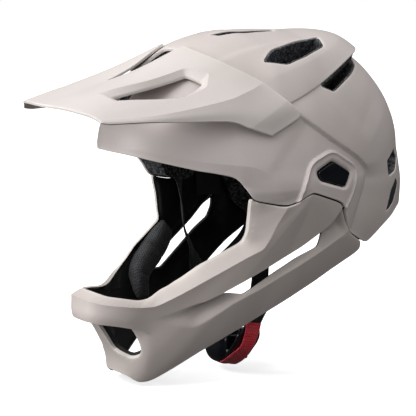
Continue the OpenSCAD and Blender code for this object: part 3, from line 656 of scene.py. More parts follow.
def shellOffset(data, fields):
    ridge, lip, valley, valleyAlong, crown, crownAlong, brow, frame, window, rear, rearAlong = fields[:, 1:].T
    _, f = sideView(data)
    back = ease((-f[:, 0] - 22) / 52)
    front = ease((37 - f[:, 0]) / 19)
    # spoiler: a ruled band from the lip up to the ridge, a slow fall above the ridge, a step below the lip
    top, low = 3.0 + 6.4 * back, 0.5 + 7.4 * back                       # heights on the ridge and on the lip
    band = low + (top - low) * np.clip(-lip / np.maximum(ridge - lip, 1e-3), 0, 1)
    spoiler = np.where(ridge < 0, top * (1 - ease(-ridge / (26 + 12 * back))), band)
    step = ease((2.4 - lip - 1.6 * back) / (3.4 - 2.2 * back))
    d = front * (spoiler * step - 0.9 * np.exp(-np.abs(lip) / 9) * (lip > 0) * (1 - back))
    # valley behind the window: a step down to the window's side above, a groove with a long rear slope below
    lower = ease((17 - f[:, 1]) / 14)
    stepped = (2.4 * ease(valleyAlong / 0.10) * ease((valley + 1.5) / 3.0)
               * np.exp(-np.maximum(valley, 0) / 34))
    grooved = 3.2 * np.exp(-np.abs(valley) / np.where(valley > 0, 5.5, 16))
    d -= stepped * (1 - lower) + grooved * lower
    # window frame: a raised face with a bead along its border
    d += 1.2 * ease((frame + 1.3) / 2.6) + 1.1 * np.exp(-((frame - 1.4) / 1.1) ** 2)
    # crown: raised inside its line, highest along it; brow and rear: even slopes; window: its border sinks
    d += (1.5 * ease((2.0 - crown) / 4.5) * ease(crownAlong / 0.05) * ease((1 - crownAlong) / 0.3)
          * np.exp(-np.maximum(-crown, 0) / 26))
    d -= np.minimum(0.17 * np.maximum(brow, 0), 2.6)
    d -= 0.08 * np.clip(rear, 0, 14) * ease(rearAlong / 0.3) * ease((1 - rearAlong) / 0.3)
    return d - 1.2 * ease((window + 2.4) / 2.4)


def rolled(edge, radius):
    # how far a quarter circle drops the skin towards its rim: r - sqrt(r^2 - (r - e)^2)
    left = np.clip(radius - edge, 0, radius)
    return radius - np.sqrt(radius ** 2 - left ** 2)


def makeShell(s):
    data, tris = formGrid(s["step"], s["rows"], lambda data: formAt(data)[:, 2] > s["lowest"])
    cuts = [("edge", 0, 0.25, 0.7, s["roll"]), ("frame", -1.2, 0.2, 1.6, 3.0, 4.4), ("ridge", 0),
            ("lip", 0.8, -0.4), ("valley", -1.5, 0, 1.5), ("brow", 0), ("lip", 0)]
    data, fields, tris = carve(data, tris, shellFields, shellColumns, cuts)
    d = shellOffset(data, fields)
    edge, deep = fields[:, 0], d - s["wall"]
    # the inner skin lies straight along X behind the release window, so that the pressed button clears it
    nearWindow = ease((fields[:, shellColumns.index("window")] + 8) / 4)[:, None]
    inner = formAt(data, deep) * (1 - nearWindow) + behindPoint(data, d, deep) * nearWindow
    # rim: painted highlight along the shell's rims, partly edge wear, fading within about a millimetre of the
    # edge
    return makeSkin("painted_shell", formAt(data, d - rolled(edge, s["roll"])), inner, tris, data[:, 1] == 0,
                    "helmet", "shell_paint", 32, rim=0.9 * np.exp(-edge / 0.9))


shell = makeShell(shellSettings)
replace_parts(shell, "upper_shell")
print("shell made", len(shell.data.polygons))


# chin bar
barSettings = dict(
    step=0.85, rows=74, highest=6, wall=2.6, roll=0.7, foam=11.0, seam=1.1,
    crease=[[20, 20], [21, -8], [21.3, -13.6], [24.6, -19.8], [28.3, -27.6], [30.8, -34.6], [32.5, -39.4],
            [36.4, -46.4], [45, -51], [79, -72.6], [92.4, -81.2], [105.8, -89.1], [109.9, -90.6],
            [119.5, -91], [132.9, -90], [145, -89], [151, -87], [175, -86]],
    groove=[[124, -101.5], [117, -102.6], [109.6, -104.4], [100.7, -106.5], [91.5, -108.6], [81.4, -109.6],
            [76.5, -107.5], [69.3, -102.3], [52.7, -89.8], [31, -77.5], [-17, -46], [-34, -36.6],
            [-34, -30], [-29, -22], [-26, -14], [-22, -20], [-15, -29], [-7, -35], [7, -46], [41, -68],
            [64, -82], [74.3, -87.5], [84.6, -90.2], [92.7, -93.4], [101.3, -98]],
    ledge=[[124, -101.5], [109.6, -104.4], [91.5, -108.6], [81.4, -109.6], [76.5, -107.5], [69.3, -102.3],
           [52.7, -89.8], [31, -77.5], [-17, -46], [-40, -30]],
    beam=[[175, -102.5], [149, -103], [142, -104.2], [133, -105], [125, -106.4], [118, -109], [110, -114]])
barColumns = "edge slot vent rim crease groove ledge beam seam".split()


def barFields(data):
    s = barSettings
    p, f = sideView(data)
    slot = inside(f, rounded(barSlot, 2.5))
    vent = lookingIn(p, chinVent, 2.5, (0, -40, -95))
    rim = inside(f, rounded(barOutline, 2.5))
    seam = -inside(f, shellShape) - s["seam"]
    crease, ledge, beam = (beside(f, rounded(s[key], radius, closed=False))[0]
                           for key, radius in (("crease", 3), ("ledge", 5), ("beam", 6)))
    return np.stack([np.min([rim, seam, -slot, -vent], 0), slot, vent, rim, crease,
                     inside(f, rounded(s["groove"], 3)), ledge, beam, seam], 1)


def barOffset(data, fields):
    rim, crease, groove, ledge, beam, seam = fields[:, 3:].T
    p, f = sideView(data)
    # rim bevel: a ruled band from the crease to the rim, depth grows from the pillar to the long side
    inner, outer = np.maximum(crease, 0), np.maximum(-crease, 0)
    depth = 8 + 4 * ease((-f[:, 1] - 34) / 14) - 3 * ease((f[:, 0] - 108) / 18)
    across = inner / np.maximum(inner + np.maximum(rim, 0), 0.1)
    d = 1.8 * np.exp(-outer / 14) - depth * across - 0.5 * ease((across - 0.80) / 0.05)
    # groove under the slot: deepens away from its lower edge, fades towards the chin
    soft = ease((f[:, 0] - 64) / 30)
    d -= (6.2 * np.clip(np.abs(ledge) / 7.5, 0, 1) * ease(groove / (0.9 + 7 * soft)) * (1 - 0.75 * soft)
          * (0.25 + 0.75 * ease(seam / 7)))
    # front beam: upright face that stands proud of the panel below it
    front = ease((f[:, 0] - 108) / 18) * (1 - ease((np.abs(p[:, 0]) - 32) / 18))
    below = ease((beam + 0.1) / 1.2)
    d += (3.2 * ease((-f[:, 1] - 88) / 14) * (1 - below) - 5.6 * below) * front * ease((f[:, 1] + 158) / 18)
    return d


def barSag(data, d, deep):
    # at the chin the rim bevel runs level: the lift of the radial inset is taken back, at the skin and behind
    p, f = sideView(data)
    high = ease((f[:, 1] + 98) / 6)
    lift = 0.46 * np.maximum(-d, 0) * ease((f[:, 0] - 108) / 20) * high
    lift += 0.62 * (d - deep) * ease((f[:, 0] - 92) / 20) * high * (1 - ease((np.abs(p[:, 0]) - 45) / 20))
    return np.stack([0 * d, 0 * d, -lift], 1)


def makeBar(s):
    data, tris = formGrid(s["step"], s["rows"], lambda data: formAt(data)[:, 2] < s["highest"])
    cuts = [("edge", 0, 0.25, s["roll"]), ("crease", 0), ("groove", 0, 0.9), ("ledge", 0),
            ("beam", -0.1, 0.5, 1.1)]
    data, fields, tris = carve(data, tris, barFields, barColumns, cuts)
    d = barOffset(data, fields)
    edge, slot, _, rim = fields.T[:4]
    outer = formAt(data, d - rolled(edge, s["roll"])) + barSag(data, d, d)
    # the wall thins towards the slot and thickens to a lip along the rim
    deep = d - s["wall"] * (0.6 + 0.4 * ease(-slot / 6)) - 1.5 * np.exp(-(np.maximum(rim, 0) / 2.2) ** 2)
    inner = behindPoint(data, d, deep) + barSag(data, d, deep)
    # rim: painted highlight along the chin bar's rims, partly edge wear, fading within about a millimetre of
    # the edge
    return makeSkin("chin_bar_shell_skin", outer, inner, tris, data[:, 1] == 0, "chin_bar", "bar_paint", 32,
                    rim=0.9 * np.exp(-edge / 0.8))


bar = makeBar(barSettings)
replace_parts(bar, "chin_bar_shell")
print("chin bar made", len(bar.data.polygons))


# foam liners
linerSettings = dict(step=1.25, rows=56, lowest=-60, inset=2.4, gap=0.25, pocket=3.4, headHalf=(80, 102, 95),
                     headMiddle=2, soften=1.2, walls=5)
linerColumns = "edge frontVent vents nearBar window".split()


def headPoint(p, s):
    # where the line from the head's middle to p meets the head space: ellipsoid above the ears, upright below
    centre = np.stack([0 * p[:, 0], 0 * p[:, 0] + s["headMiddle"], np.minimum(p[:, 2], 0)], 1)
    size = np.linalg.norm((p - centre) / s["headHalf"], axis=1)
    return centre + (p - centre) / np.maximum(size, 1e-6)[:, None]


def linerFields(data):
    p, f = sideView(data)
    vents = ventFields(p, "frontVent")
    # the foam fills the seam to the chin bar
    nearBar = ease((66 - f[:, 0]) / 8) * ease((f[:, 0] + 62) / 8)
    inset = linerSettings["inset"] * (1 - nearBar) + 0.25 * nearBar
    edge = np.min([inside(f, rounded(shellOutline, 7)) - inset] + [1.5 - v for v in vents], 0)
    return np.stack([edge, lookingIn(p, *openings["frontVent"]), np.max(vents, 0), nearBar,
                     inside(f, windowShape)], 1)


def makeLiner(s):
    data, tris = formGrid(s["step"], s["rows"], lambda data: formAt(data)[:, 2] > s["lowest"])
    cuts = [("edge", 0, 0.5, s["soften"]), ("frontVent", 0, -2), ("vents", 0.1, 0.3), ("window", -1.6, -1)]
    data, fields, tris = carve(data, tris, linerFields, linerColumns, cuts)
    edge, frontVent, vents, nearBar, window = fields.T
    shellD = shellOffset(data, shellFields(data))
    trough = 6 * ease((frontVent + 1.5) / 4)
    soft = rolled(edge, s["soften"]) * (1 - 0.85 * nearBar)
    pocket = s["pocket"] * ease((window + 1.6) / 0.6)           # room for the pressed release button
    under = np.minimum(shellD, 3) - shellSettings["wall"] - s["gap"] - trough - pocket
    lip = ease((vents - 0.1) / 0.2)                             # foam lips stand in the shell's vents
    outer = formAt(data, under + (shellD - 0.7 - under) * lip - soft)
    inner = headPoint(outer, s)
    inner += soft[:, None] * (outer - inner) / np.linalg.norm(outer - inner, axis=1)[:, None]
    return makeSkin("foam_liner", outer, inner, tris, data[:, 1] == 0, "helmet", "foam", 40, rows=s["walls"])


liner = makeLiner(linerSettings)
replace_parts(liner, "helmet_liner")
print("liner made", len(liner.data.polygons))


def foamFields(data):
    # the bar's fields with the foam's edge in place of the skin's
    fields = barFields(data)
    slot, vent, rim, seam = (fields[:, barColumns.index(name)] for name in ("slot", "vent", "rim", "seam"))
    fields[:, 0] = np.min([rim - 1.6, seam + 1.0, -slot - 0.4, -vent - 0.4], 0)
    return fields


def makeBarLiner(s):
    # foam of the chin bar: follows the skin outside, evenly thick, thinner towards the rim and round the slot
    data, tris = formGrid(linerSettings["step"], linerSettings["rows"],
                          lambda data: formAt(data)[:, 2] < s["highest"])
    cuts = [("edge", 0, 0.6, 1.5, 3.5), ("crease", 0), ("groove", 0), ("ledge", 0)]
    data, fields, tris = carve(data, tris, foamFields, barColumns, cuts)
    d = barOffset(data, fields)
    edge, slot = fields.T[:2]
    slotFar = ease(-slot / 13)
    top = d - s["wall"] - 0.25
    full = s["foam"] * (1 - 0.35 * rolled(np.minimum(edge, 6), 6) / 6)
    deep = -s["wall"] - 0.25 - full * (0.1 + 0.9 * slotFar)
    deep = np.minimum(deep, d - s["wall"] - 1.2 - 2.0 * slotFar)
    outer, inner = (behindPoint(data, d, level) + barSag(data, d, level) for level in (top, deep))
    return makeSkin("chin_bar_foam", outer, inner, tris, data[:, 1] == 0, "chin_bar", "foam", 40,
                    material=linerBlack)


barLiner = makeBarLiner(barSettings)
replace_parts(barLiner, "chin_bar_liner")
print("chin bar foam made", len(barLiner.data.polygons))


# visor: guides from the middle to the flange, each [x, forward, height] from the rear to the front edge
visorSettings = dict(wall=2.2, roll=0.8)
visorGuides = np.array([
    [[0, 67, 106], [0, 80, 99.8], [0, 93, 93.4], [0, 107, 87.5], [0, 130, 79.5], [0, 156, 72],
     [0, 183, 64.5]],
    [[19, 69, 106.5], [22, 80, 101], [24, 93, 95], [26, 107, 89], [29, 130, 80.5], [32, 155, 72.3],
     [34, 180, 64.3]],
    [[51, 60, 98.6], [51.5, 70, 94.6], [51.5, 82, 90], [51, 97, 84.5], [50, 122, 77], [51, 148, 70],
     [52, 175, 62.6]],
    [[68, 48, 90.6], [69.5, 57, 87], [69, 69, 82.6], [67, 84, 78], [65, 113, 71.5], [64.5, 141, 65.5],
     [63, 170, 60.3]],
    [[82, 34, 81.5], [85, 42, 77.8], [86.5, 54, 73.5], [86, 68, 69], [81.5, 105, 62], [77.5, 135, 58.5],
     [71, 166.5, 57.4]],
    [[95, 19, 67.5], [96, 37, 59], [93.5, 51, 58.5], [90, 67, 60], [84, 102, 58], [79.5, 134, 56.7],
     [73, 166, 56]],
    [[100.6, 8, 57], [100, 35, 42], [96, 49.5, 47], [91.5, 66, 53], [85, 100, 54], [80.5, 133, 55],
     [74, 165, 54.2]]],
    float)
visorNotch = [[0, 129], [-4.5, 112], [-9, 95], [-16, 74], [-19, 66], [-20, 40], [20, 40], [19, 66],
              [16, 74], [9, 95], [4.5, 112]]
visorOpening = [[40, 143], [46, 112], [50.5, 85.5], [64.5, 77], [68, 94], [61, 119], [52, 140]]
visorBevel = [[33, 150], [43, 112], [47, 84], [62, 70], [70, 76], [72, 98], [63.5, 122], [54, 146]]
visorColumns = "edge opening bevel notch fold".split()


def catmull(a, b, c, d, t):
    # Catmull-Rom from b to c: half of 2b + (c - a) t + (2a - 5b + 4c - d) t^2 + (3b - a - 3c + d) t^3
    return 0.5 * (2 * b + (c - a) * t + (2 * a - 5 * b + 4 * c - d) * t ** 2
                  + (3 * b - a - 3 * c + d) * t ** 3)


def extended(rows):
    # one more row at each end, straight on from the last two
    return np.concatenate([[2 * rows[0] - rows[1]], rows, [2 * rows[-1] - rows[-2]]])


def spline(values, u):
    # through the rows of values at u = 0, 1, 2 ...
    i = np.clip(np.floor(u).astype(int), 0, len(values) - 2)
    rows = extended(values)
    return catmull(rows[i], rows[i + 1], rows[i + 2], rows[i + 3],
                   (u - i).reshape(-1, *([1] * (values.ndim - 1))))


def splineEach(values, u):
    # the same where every point has rows of its own: rows x points x 3
    i, pick = np.clip(np.floor(u).astype(int), 0, len(values) - 2), np.arange(len(u))
    rows = extended(values)
    return catmull(rows[i, pick], rows[i + 1, pick], rows[i + 2, pick], rows[i + 3, pick], (u - i)[:, None])


def visorPoint(data):
    # u runs across the guides (smooth up to the crease, a new curve beyond it), v along them
    u, v = data[:, 0], data[:, 1]
    columns = np.stack([spline(g, v) for g in visorGuides], 0)           # guides x points x 3
    corner = np.stack([np.interp(v, np.arange(7), visorGuides[6][:, i]) for i in range(3)], 1)
    columns[6] += (corner - columns[6]) * ease(3 - v)[:, None]
    top = np.concatenate([columns[1:5][::-1] * [-1, 1, 1], columns[:5]])  # the top from crease to crease
    onTop, onFlange = splineEach(top, np.clip(u, 0, 4) + 4), splineEach(columns[4:], np.clip(u - 4, 0, 2))
    return np.where((u <= 4)[:, None], onTop, onFlange) * [1, -1, 1]


def visorNormal(data):
    # upward normal from small steps across and along, one-sided at the crease
    e = 0.02
    u, v = data[:, 0], data[:, 1]
    lowU = np.maximum(np.where(u > 4, np.maximum(u - e, 4.0001), u - e), 0)
    highU = np.minimum(u + e, np.where(u <= 4, 4, 6))
    du = visorPoint(np.stack([highU, v], 1)) - visorPoint(np.stack([lowU, v], 1))
    lowV, highV = np.maximum(v - e, 0), np.minimum(v + e, 6)
    dv = visorPoint(np.stack([u, highV], 1)) - visorPoint(np.stack([u, lowV], 1))
    n = np.cross(dv, du)
    return n / np.maximum(np.linalg.norm(n, axis=1), 1e-9)[:, None]


def visorFields(data):
    p = visorPoint(data)
    plan = np.stack([p[:, 0], -p[:, 1]], 1)
    notch, opening, bevel = (inside(plan, rounded(outline, corner)) for outline, corner in (
        (visorNotch, 3), (visorOpening, 1.2), (visorBevel, 1.8)))
    rear, front, side = data[:, 1] * 12, (6 - data[:, 1]) * 26, (6 - data[:, 0]) * 8
    corner = lambda a, b, r: np.where((a < r) & (b < r), r - np.hypot(r - a, r - b), np.minimum(a, b))
    edge = np.min([-notch, -opening, corner(rear, side, 2.5), corner(front, side, 7)], 0)
    # side of the tab's fold line in side view, positive towards the tab's corner
    fold = (-33 * (p[:, 2] - 48) - 20 * (-p[:, 1] - 52)) / 38.6
    return np.stack([edge, opening, bevel, -notch, np.where(data[:, 0] > 4, fold, -9)], 1)


def makeVisor(s):
    u, v = np.concatenate([np.linspace(0, 4, 96), np.linspace(4, 6, 25)[1:]]), np.linspace(0, 6, 150)
    data = np.stack(np.meshgrid(u, v, indexing="ij"), -1).reshape(-1, 2)
    a = np.arange(len(u) - 1)[:, None] * len(v) + np.arange(len(v) - 1)[None, :]
    tris = halves(np.stack([a + 1, a + len(v) + 1, a + len(v), a], -1).reshape(-1, 4))
    cuts = [("edge", 0, 0.12, 0.3, 0.55, s["roll"]), ("bevel", 0), ("notch", 3.2), ("fold", 0)]
    data, fields, tris = carve(data, tris, visorFields, visorColumns, cuts, ring=False)
    p, n = visorPoint(data), visorNormal(data)
    edge, opening, bevel, _, fold = fields.T
    edge = np.maximum(edge, 0)
    # the bevel round the opening and the tab's corner sink below the guides' surface
    sink = 4.2 * np.clip(bevel / np.maximum(bevel - opening, 1e-3), 0, 1) + 0.13 * np.maximum(fold, 0)
    outer = p - n * (sink + 0.9 * rolled(edge, s["roll"]))[:, None]
    # rim: painted highlight along the visor's rims, partly edge wear, fading within about a millimetre of the
    # edge
    return makeSkin("visor_skin", outer, p - n * (sink + s["wall"])[:, None], tris, data[:, 0] == 0,
                    "visor", "visor_paint", 17, rim=0.8 * np.exp(-edge / 0.8))


visor = makeVisor(visorSettings)
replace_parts(visor, "visor_plate")
print("visor made", len(visor.data.polygons))


# inlays: patches of the form inside an outline, sunk or proud, with a rolled rim
buttonSettings = dict(gap=0.85, level=0.7, roll=0.5, thick=3.0)
portSettings = dict(gap=0.1, level=-0.25, roll=0.5, thick=3.0)


def makeInlay(name, side, edgeOf, s, body):
    data, tris = formGrid(shellSettings["step"], shellSettings["rows"], lambda data: edgeOf(data) > -6)
    cuts = [("edge", 0, 0.3, 0.7, s["roll"])]
    data, fields, tris = carve(data, tris, lambda data: edgeOf(data)[:, None], ["edge"], cuts)
    outer = formAt(data, s["level"] - rolled(fields[:, 0], s["roll"]))
    points, faces, _ = wall(outer, formAt(data, s["level"] - s["thick"]), tris, np.zeros(len(data), bool))
    return makeMesh(name, points * [side, 1, 1], faces[:, ::side], body, "black_gloss", 40)


def buttonEdge(data):
    return inside(sideView(data)[1], windowShape) - buttonSettings["gap"]


def portEdge(data):
    return lookingIn(sideView(data)[0], *openings["lowPort"]) - portSettings["gap"]


for side, name in ((1, "left"), (-1, "right")):
    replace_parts(makeInlay("release_button_face_" + name, side, buttonEdge, buttonSettings, "release_" + name),
                "release_button_" + name)
    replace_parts(makeInlay("rear_port_face_" + name, side, portEdge, portSettings, "helmet"),
                "rear_port_" + name)
print("buttons and ports made")


# webbing: flat bands along [x, forward, height] paths in mm
def curveThrough(path, step):
    # Catmull-Rom through the path's points, then points at even steps of its length
    path = np.asarray(path, float)
    fine = spline(path, np.linspace(0, len(path) - 1, 40 * len(path)))
    run = np.concatenate([[0], np.cumsum(np.linalg.norm(np.diff(fine, axis=0), axis=1))])
    even = np.linspace(0, run[-1], int(run[-1] / step) + 2)
    return np.stack([np.interp(even, run, fine[:, i]) for i in range(3)], 1), even


def ringQuads(n, m):
    # quads between n rings of m points
    i, j = np.arange(n - 1)[:, None] * m, np.arange(m)[None, :]
    k = (j + 1) % m
    return np.stack([i + j, i + k, i + m + k, i + m + j], -1).reshape(-1, 4)


def tube(rings):
    # closed skin over rings of m points, point j of each end ring joined to point m - j; faces turned outward
    n, m = rings.shape[:2]
    half = np.arange(m // 2)
    cap = np.stack([half, (m - half) % m, m - half - 1, half + 1], 1)
    tris = whole(halves(np.vstack([ringQuads(n, m), cap, (cap + (n - 1) * m)[:, ::-1]])))
    points = rings.reshape(-1, 3)
    return outward(points - points.mean(0), tris)


def bandSkin(name, path, wide, s, body, slot, side=1):
    # section: x = sin(pi u/2) across, half thickness (1 - x^8)^(1/2); ribs = raised cosine rows along it
    line, run = curveThrough(np.asarray(path, float) * [side, -1, 1], s["step"])
    tangent = np.gradient(line, axis=0)
    tangent /= np.linalg.norm(tangent, axis=1)[:, None]
    k = run / run[-1]
    given = np.linspace(0, 1, len(wide))
    across = np.stack([np.interp(k, given, column) for column in np.transpose(wide)], 1)
    across *= [side, 1, 1]
    across -= tangent * (across * tangent).sum(1)[:, None]
    across /= np.linalg.norm(across, axis=1)[:, None]
    x = np.sin(np.linspace(-1, 1, 17) * np.pi / 2)
    x = np.concatenate([x, x[-2:0:-1]])
    y = np.sqrt(1 - np.abs(x) ** 8) * np.where(np.arange(32) <= 16, 1, -1)
    width = np.interp(k, s["widthAt"], s["width"]) / 2
    ribbed = ease((s["ribbed"] - k) / 0.06) * ease((k - 0.04) / 0.06)
    thick = s["thick"] / 2 + s["rib"] * ribbed * (0.5 + 0.5 * np.cos(2 * np.pi * run / s["pitch"]))
    rings = (line[:, None] + across[:, None] * (x * width[:, None])[..., None]
             + np.cross(tangent, across)[:, None] * (y * thick[:, None])[..., None])
    uv = np.stack([x * width[:, None], run[:, None] + 0 * x], -1).reshape(-1, 2)
    piece = makeMesh(name, rings.reshape(-1, 3), tube(rings), body, slot, 60, uv=uv)
    return piece, (float(width.mean() * 2 * mm), float(run[-1] * mm))


def makeBand(name, path, wide, s, body, slot, side=1):
    piece, flat = bandSkin(name, path, wide, s, body, slot, side)
    print("band", name, "flat mm", [round(v / mm, 1) for v in flat])
    return piece


webbingSettings = dict(step=1.6, thick=1.5, width=[15, 15], widthAt=[0, 1], rib=0.0, ribbed=0, pitch=2)
divider = np.array([48.8, 12, -89])
frontPath = [[78.7, 28, 2], [78.7, 28, -9], [73, 27, -24], [68, 25.5, -38], [63, 24, -51],
             divider + [9.8, 10.4, 26], divider + [6, 9, 14], divider + [2.2, 8, 5.5]]
twistedPath = [[78.7, 24, 2], [78.7, 24, -9], [75, 24, -24], [71, 24.5, -38], [66, 25, -51],
               divider + [9.8, 11.5, 26], divider + [6, 9.5, 14], divider + [2.2, 8, 5.5]]
rearPath = [[76.8, -52, -31], [73.5, -48, -41], [69, -41, -52], [63, -31, -63], [58.5, -20, -71],
            [55, -9, -78], [52, 0, -82.5], divider + [2.2, -8, 5]]
chinLeft = [divider + [-2.2, 1, -5.5], [43.8, 14, -101], [40.2, 15.8, -108], [36.6, 17, -114.5],
            [33.4, 17.8, -121], [31, 18.3, -127]]
chinRight = [divider + [-2.2, 1, -5.5], [44, 13, -103], [39, 13.8, -112], [33.6, 14.8, -121],
             [27.8, 16, -130], [23.4, 17.4, -136], [20.2, 18, -141]]
straight, slanted = [[0, 1, 0], [0, 1, 0]], [[-0.09, -0.52, 0.85], [0.1, -0.6, 0.8], [0.2, -0.9, 0.4]]
twisted = [[0, 1, 0], [0.8, 0.6, 0], [0.93, 0.37, 0], [0.9, 0.43, 0], [0.8, 0.6, 0], [0, 1, 0]]
for side, name in ((1, "left"), (-1, "right")):
    straps = (("strap_front_", frontPath if side > 0 else twistedPath, straight if side > 0 else twisted,
               ["strap_anchor_" + name, "strap_divider_" + name]),
              ("strap_rear_", rearPath, slanted, ["rear_anchor_" + name, "strap_divider_" + name]),
              ("chin_strap_", chinLeft if side > 0 else chinRight, straight,
               ["strap_divider_" + name, "buckle_tongue" if side > 0 else "buckle_base"]))
    for node, path, wide, holders in straps:
        bends = node == "chin_strap_" and side > 0              # follows the buckle's tongue at its lower end
        band = makeBand(node + "cloth_" + name, path, wide, dict(webbingSettings, restsOn=holders),
                        None if bends else "helmet", "webbing", side)
        if bends:
            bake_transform(band)
        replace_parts(band, node + name)
print("webbing made")


# pads: cushions between an outer face on the foam and an inner face towards the wearer, blown up as cloth
def sideX(f, z, d):
    # half width of the form where it is seen from the side at (f, z), at offset d
    n, narrow, radius = ringAt(np.degrees(np.arctan2(z, f)) % 360)
    return halfWidth(np.hypot(f, z) / (radius + d), n, narrow, d)


padWide, padLong, padHigh, padMiddle = 79.5, 101.5, 94.5, 2          # half sizes and middle of the head space


def bowlPad(az, azHalf, el, elHalf):
    def point(u, v, e):
        a, b = np.radians(az + azHalf * u), np.radians(el + elHalf * v)
        return np.stack([(padWide - e) * np.cos(b) * np.sin(a),
                         padMiddle - (padLong - e) * np.cos(b) * np.cos(a),
                         (padHigh - e) * np.sin(b)], -1)
    return point


def crownPad(u, v, e):
    a, w = np.radians(92 + 34 * u), -(14 + 9 * u ** 2) * v
    flat = np.sqrt(1 - (w / (padWide - e)) ** 2)
    return np.stack([w, padMiddle - (padLong - e) * np.cos(a) * flat, (padHigh - e) * np.sin(a) * flat], -1)


def napePad(u, v, e):
    a = np.radians(24 * u)
    return np.stack([(74.1 - e) * np.sin(a), padMiddle + (96.1 - e) * np.cos(a), -31 - 11 * v + 0 * e], -1)


# cheek pads: front and rear edge as [forward, height], from the chin up to the temple
cheekFront = np.array([[80.5, -103], [84.5, -91], [86, -80], [81, -70], [69.5, -59.5], [57, -49.5],
                       [44, -40]], float)
cheekRear = np.array([[67, -105], [68.5, -96], [69, -89], [65, -83], [55.5, -76.5], [44, -66.5], [32, -54]],
                     float)


def cheekPad(u, v, e):
    along = (u.ravel() + 1) * 3
    front, rear = (spline(edge, along).reshape(u.shape + (2,)) for edge in (cheekFront, cheekRear))
    place = (front + rear) / 2 + v[..., None] * (front - rear) / 2
    return np.stack([sideX(place[..., 0], place[..., 1], -14.25) - e, -place[..., 0], place[..., 1]], -1)


padSettings = dict(frames=16, cap=3.5, finer=4, channel=1.3, piping=0.5)
clothSettings = dict(quality=6, mass=0.15, tension_stiffness=12, compression_stiffness=12, shear_stiffness=6,
                     bending_stiffness=0.4, use_pressure=True, uniform_pressure_force=4.0)
pads = [dict(name="brow_pad", point=bowlPad(0, 58, 22.5, 7.5), thick=8.5, size=(150, 24),
             channels=[-0.55, 0, 0.55]),
        dict(name="crown_pad", point=crownPad, thick=8.5, size=(112, 36), channels=[-0.5, 0, 0.5]),
        dict(name="nape_pad", point=napePad, thick=6.0, size=(80, 22), channels=[0], body="cradle")]
for side, name in ((1, "left"), (-1, "right")):
    pads += [dict(name="side_pad_" + name, point=bowlPad(95, 23, 29, 15), thick=8.5, size=(68, 48),
                  channels=[0], side=side),
             dict(name="cheek_pad_" + name, point=cheekPad, thick=16.5, size=(88, 22), channels=[-0.2, 0.45],
                  side=side, body="chin_bar")]


def padRings(p, fuller):
    # v = sin(pi k/2) over the inner face, back over the outer one; depth (1 - |v|^2.6)^(1/2) (1 - u^4)^(1/2)
    n, m = int(p["size"][0] / 4) + 1, int(p["size"][1] / 3.2) + 4
    u = np.sin(np.linspace(-1, 1, n) * np.pi / 2 * 0.92) / np.sin(np.pi / 2 * 0.92)
    v = np.sin(np.linspace(-1, 1, m) * np.pi / 2)
    u, v = np.meshgrid(u, np.concatenate([v, v[-2:0:-1]]), indexing="ij")
    inner = np.broadcast_to(np.arange(u.shape[1]) < m, u.shape)
    plan = 0.62 + 0.38 * np.sqrt(np.maximum(0, 1 - np.abs(u) ** 5))
    deep = (p["thick"] * fuller * np.sqrt(np.maximum(0, 1 - np.abs(v) ** 2.6))
            * np.sqrt(np.maximum(0, 1 - u ** 4)))
    points = p["point"](u * 0.985, v * plan, np.where(inner, 1.0 + deep, 0.2 * (1 - v ** 2)))
    away = p["point"](u, v * plan, 0 * u) - p["point"](u, v * plan, 0 * u + 1)
    return points, away / np.linalg.norm(away, axis=-1)[..., None], u, v, inner


def inflate(all, s):
    # every pad at once as cloth under air pressure, no gravity; no point moves outward or beyond the cap
    made = []
    for p in all:
        rings = p["rings"][0]
        mesh = bpy.data.meshes.new("blank")
        mesh.from_pydata(rings.reshape(-1, 3) * mm, [], tube(rings))
        blank = newObject("blank", mesh)
        cloth = blank.modifiers.new("cloth", "CLOTH")
        for key, value in clothSettings.items():
            setattr(cloth.settings, key, value)
        cloth.settings.effector_weights.gravity = 0
        cloth.collision_settings.use_collision = False
        cloth.point_cache.frame_start, cloth.point_cache.frame_end = 1, s["frames"]
        made.append(blank)
    for number in range(1, s["frames"] + 1):
        scene.frame_set(number)
    graph = bpy.context.evaluated_depsgraph_get()
    for p, blank in zip(all, made):
        rings, away = p["rings"][:2]
        found = np.empty(rings.size, "f")
        blank.evaluated_get(graph).data.vertices.foreach_get("co", found)
        move = found.reshape(rings.shape) / mm - rings
        move -= np.maximum((move * away).sum(-1), 0)[..., None] * away
        size = np.linalg.norm(move, axis=-1)[..., None]
        p["rings"] = (rings + move * np.minimum(1, s["cap"] / np.maximum(size, 1e-6)),) + p["rings"][1:]
        print("cloth", p["name"], "mean move mm", round(float(size.mean()), 2))
    scene.frame_set(1)
    for blank in made:
        bpy.data.objects.remove(blank)


def finer(values, times):
    # Catmull-Rom along the rings, then round them
    n, m = values.shape[:2]
    values = spline(values, np.linspace(0, n - 1, (n - 1) * times + 1))
    around = np.concatenate([values[:, -2:], values, values[:, :3]], 1).swapaxes(0, 1)
    return spline(around, 2 + np.arange(m * times) / times).swapaxes(0, 1)


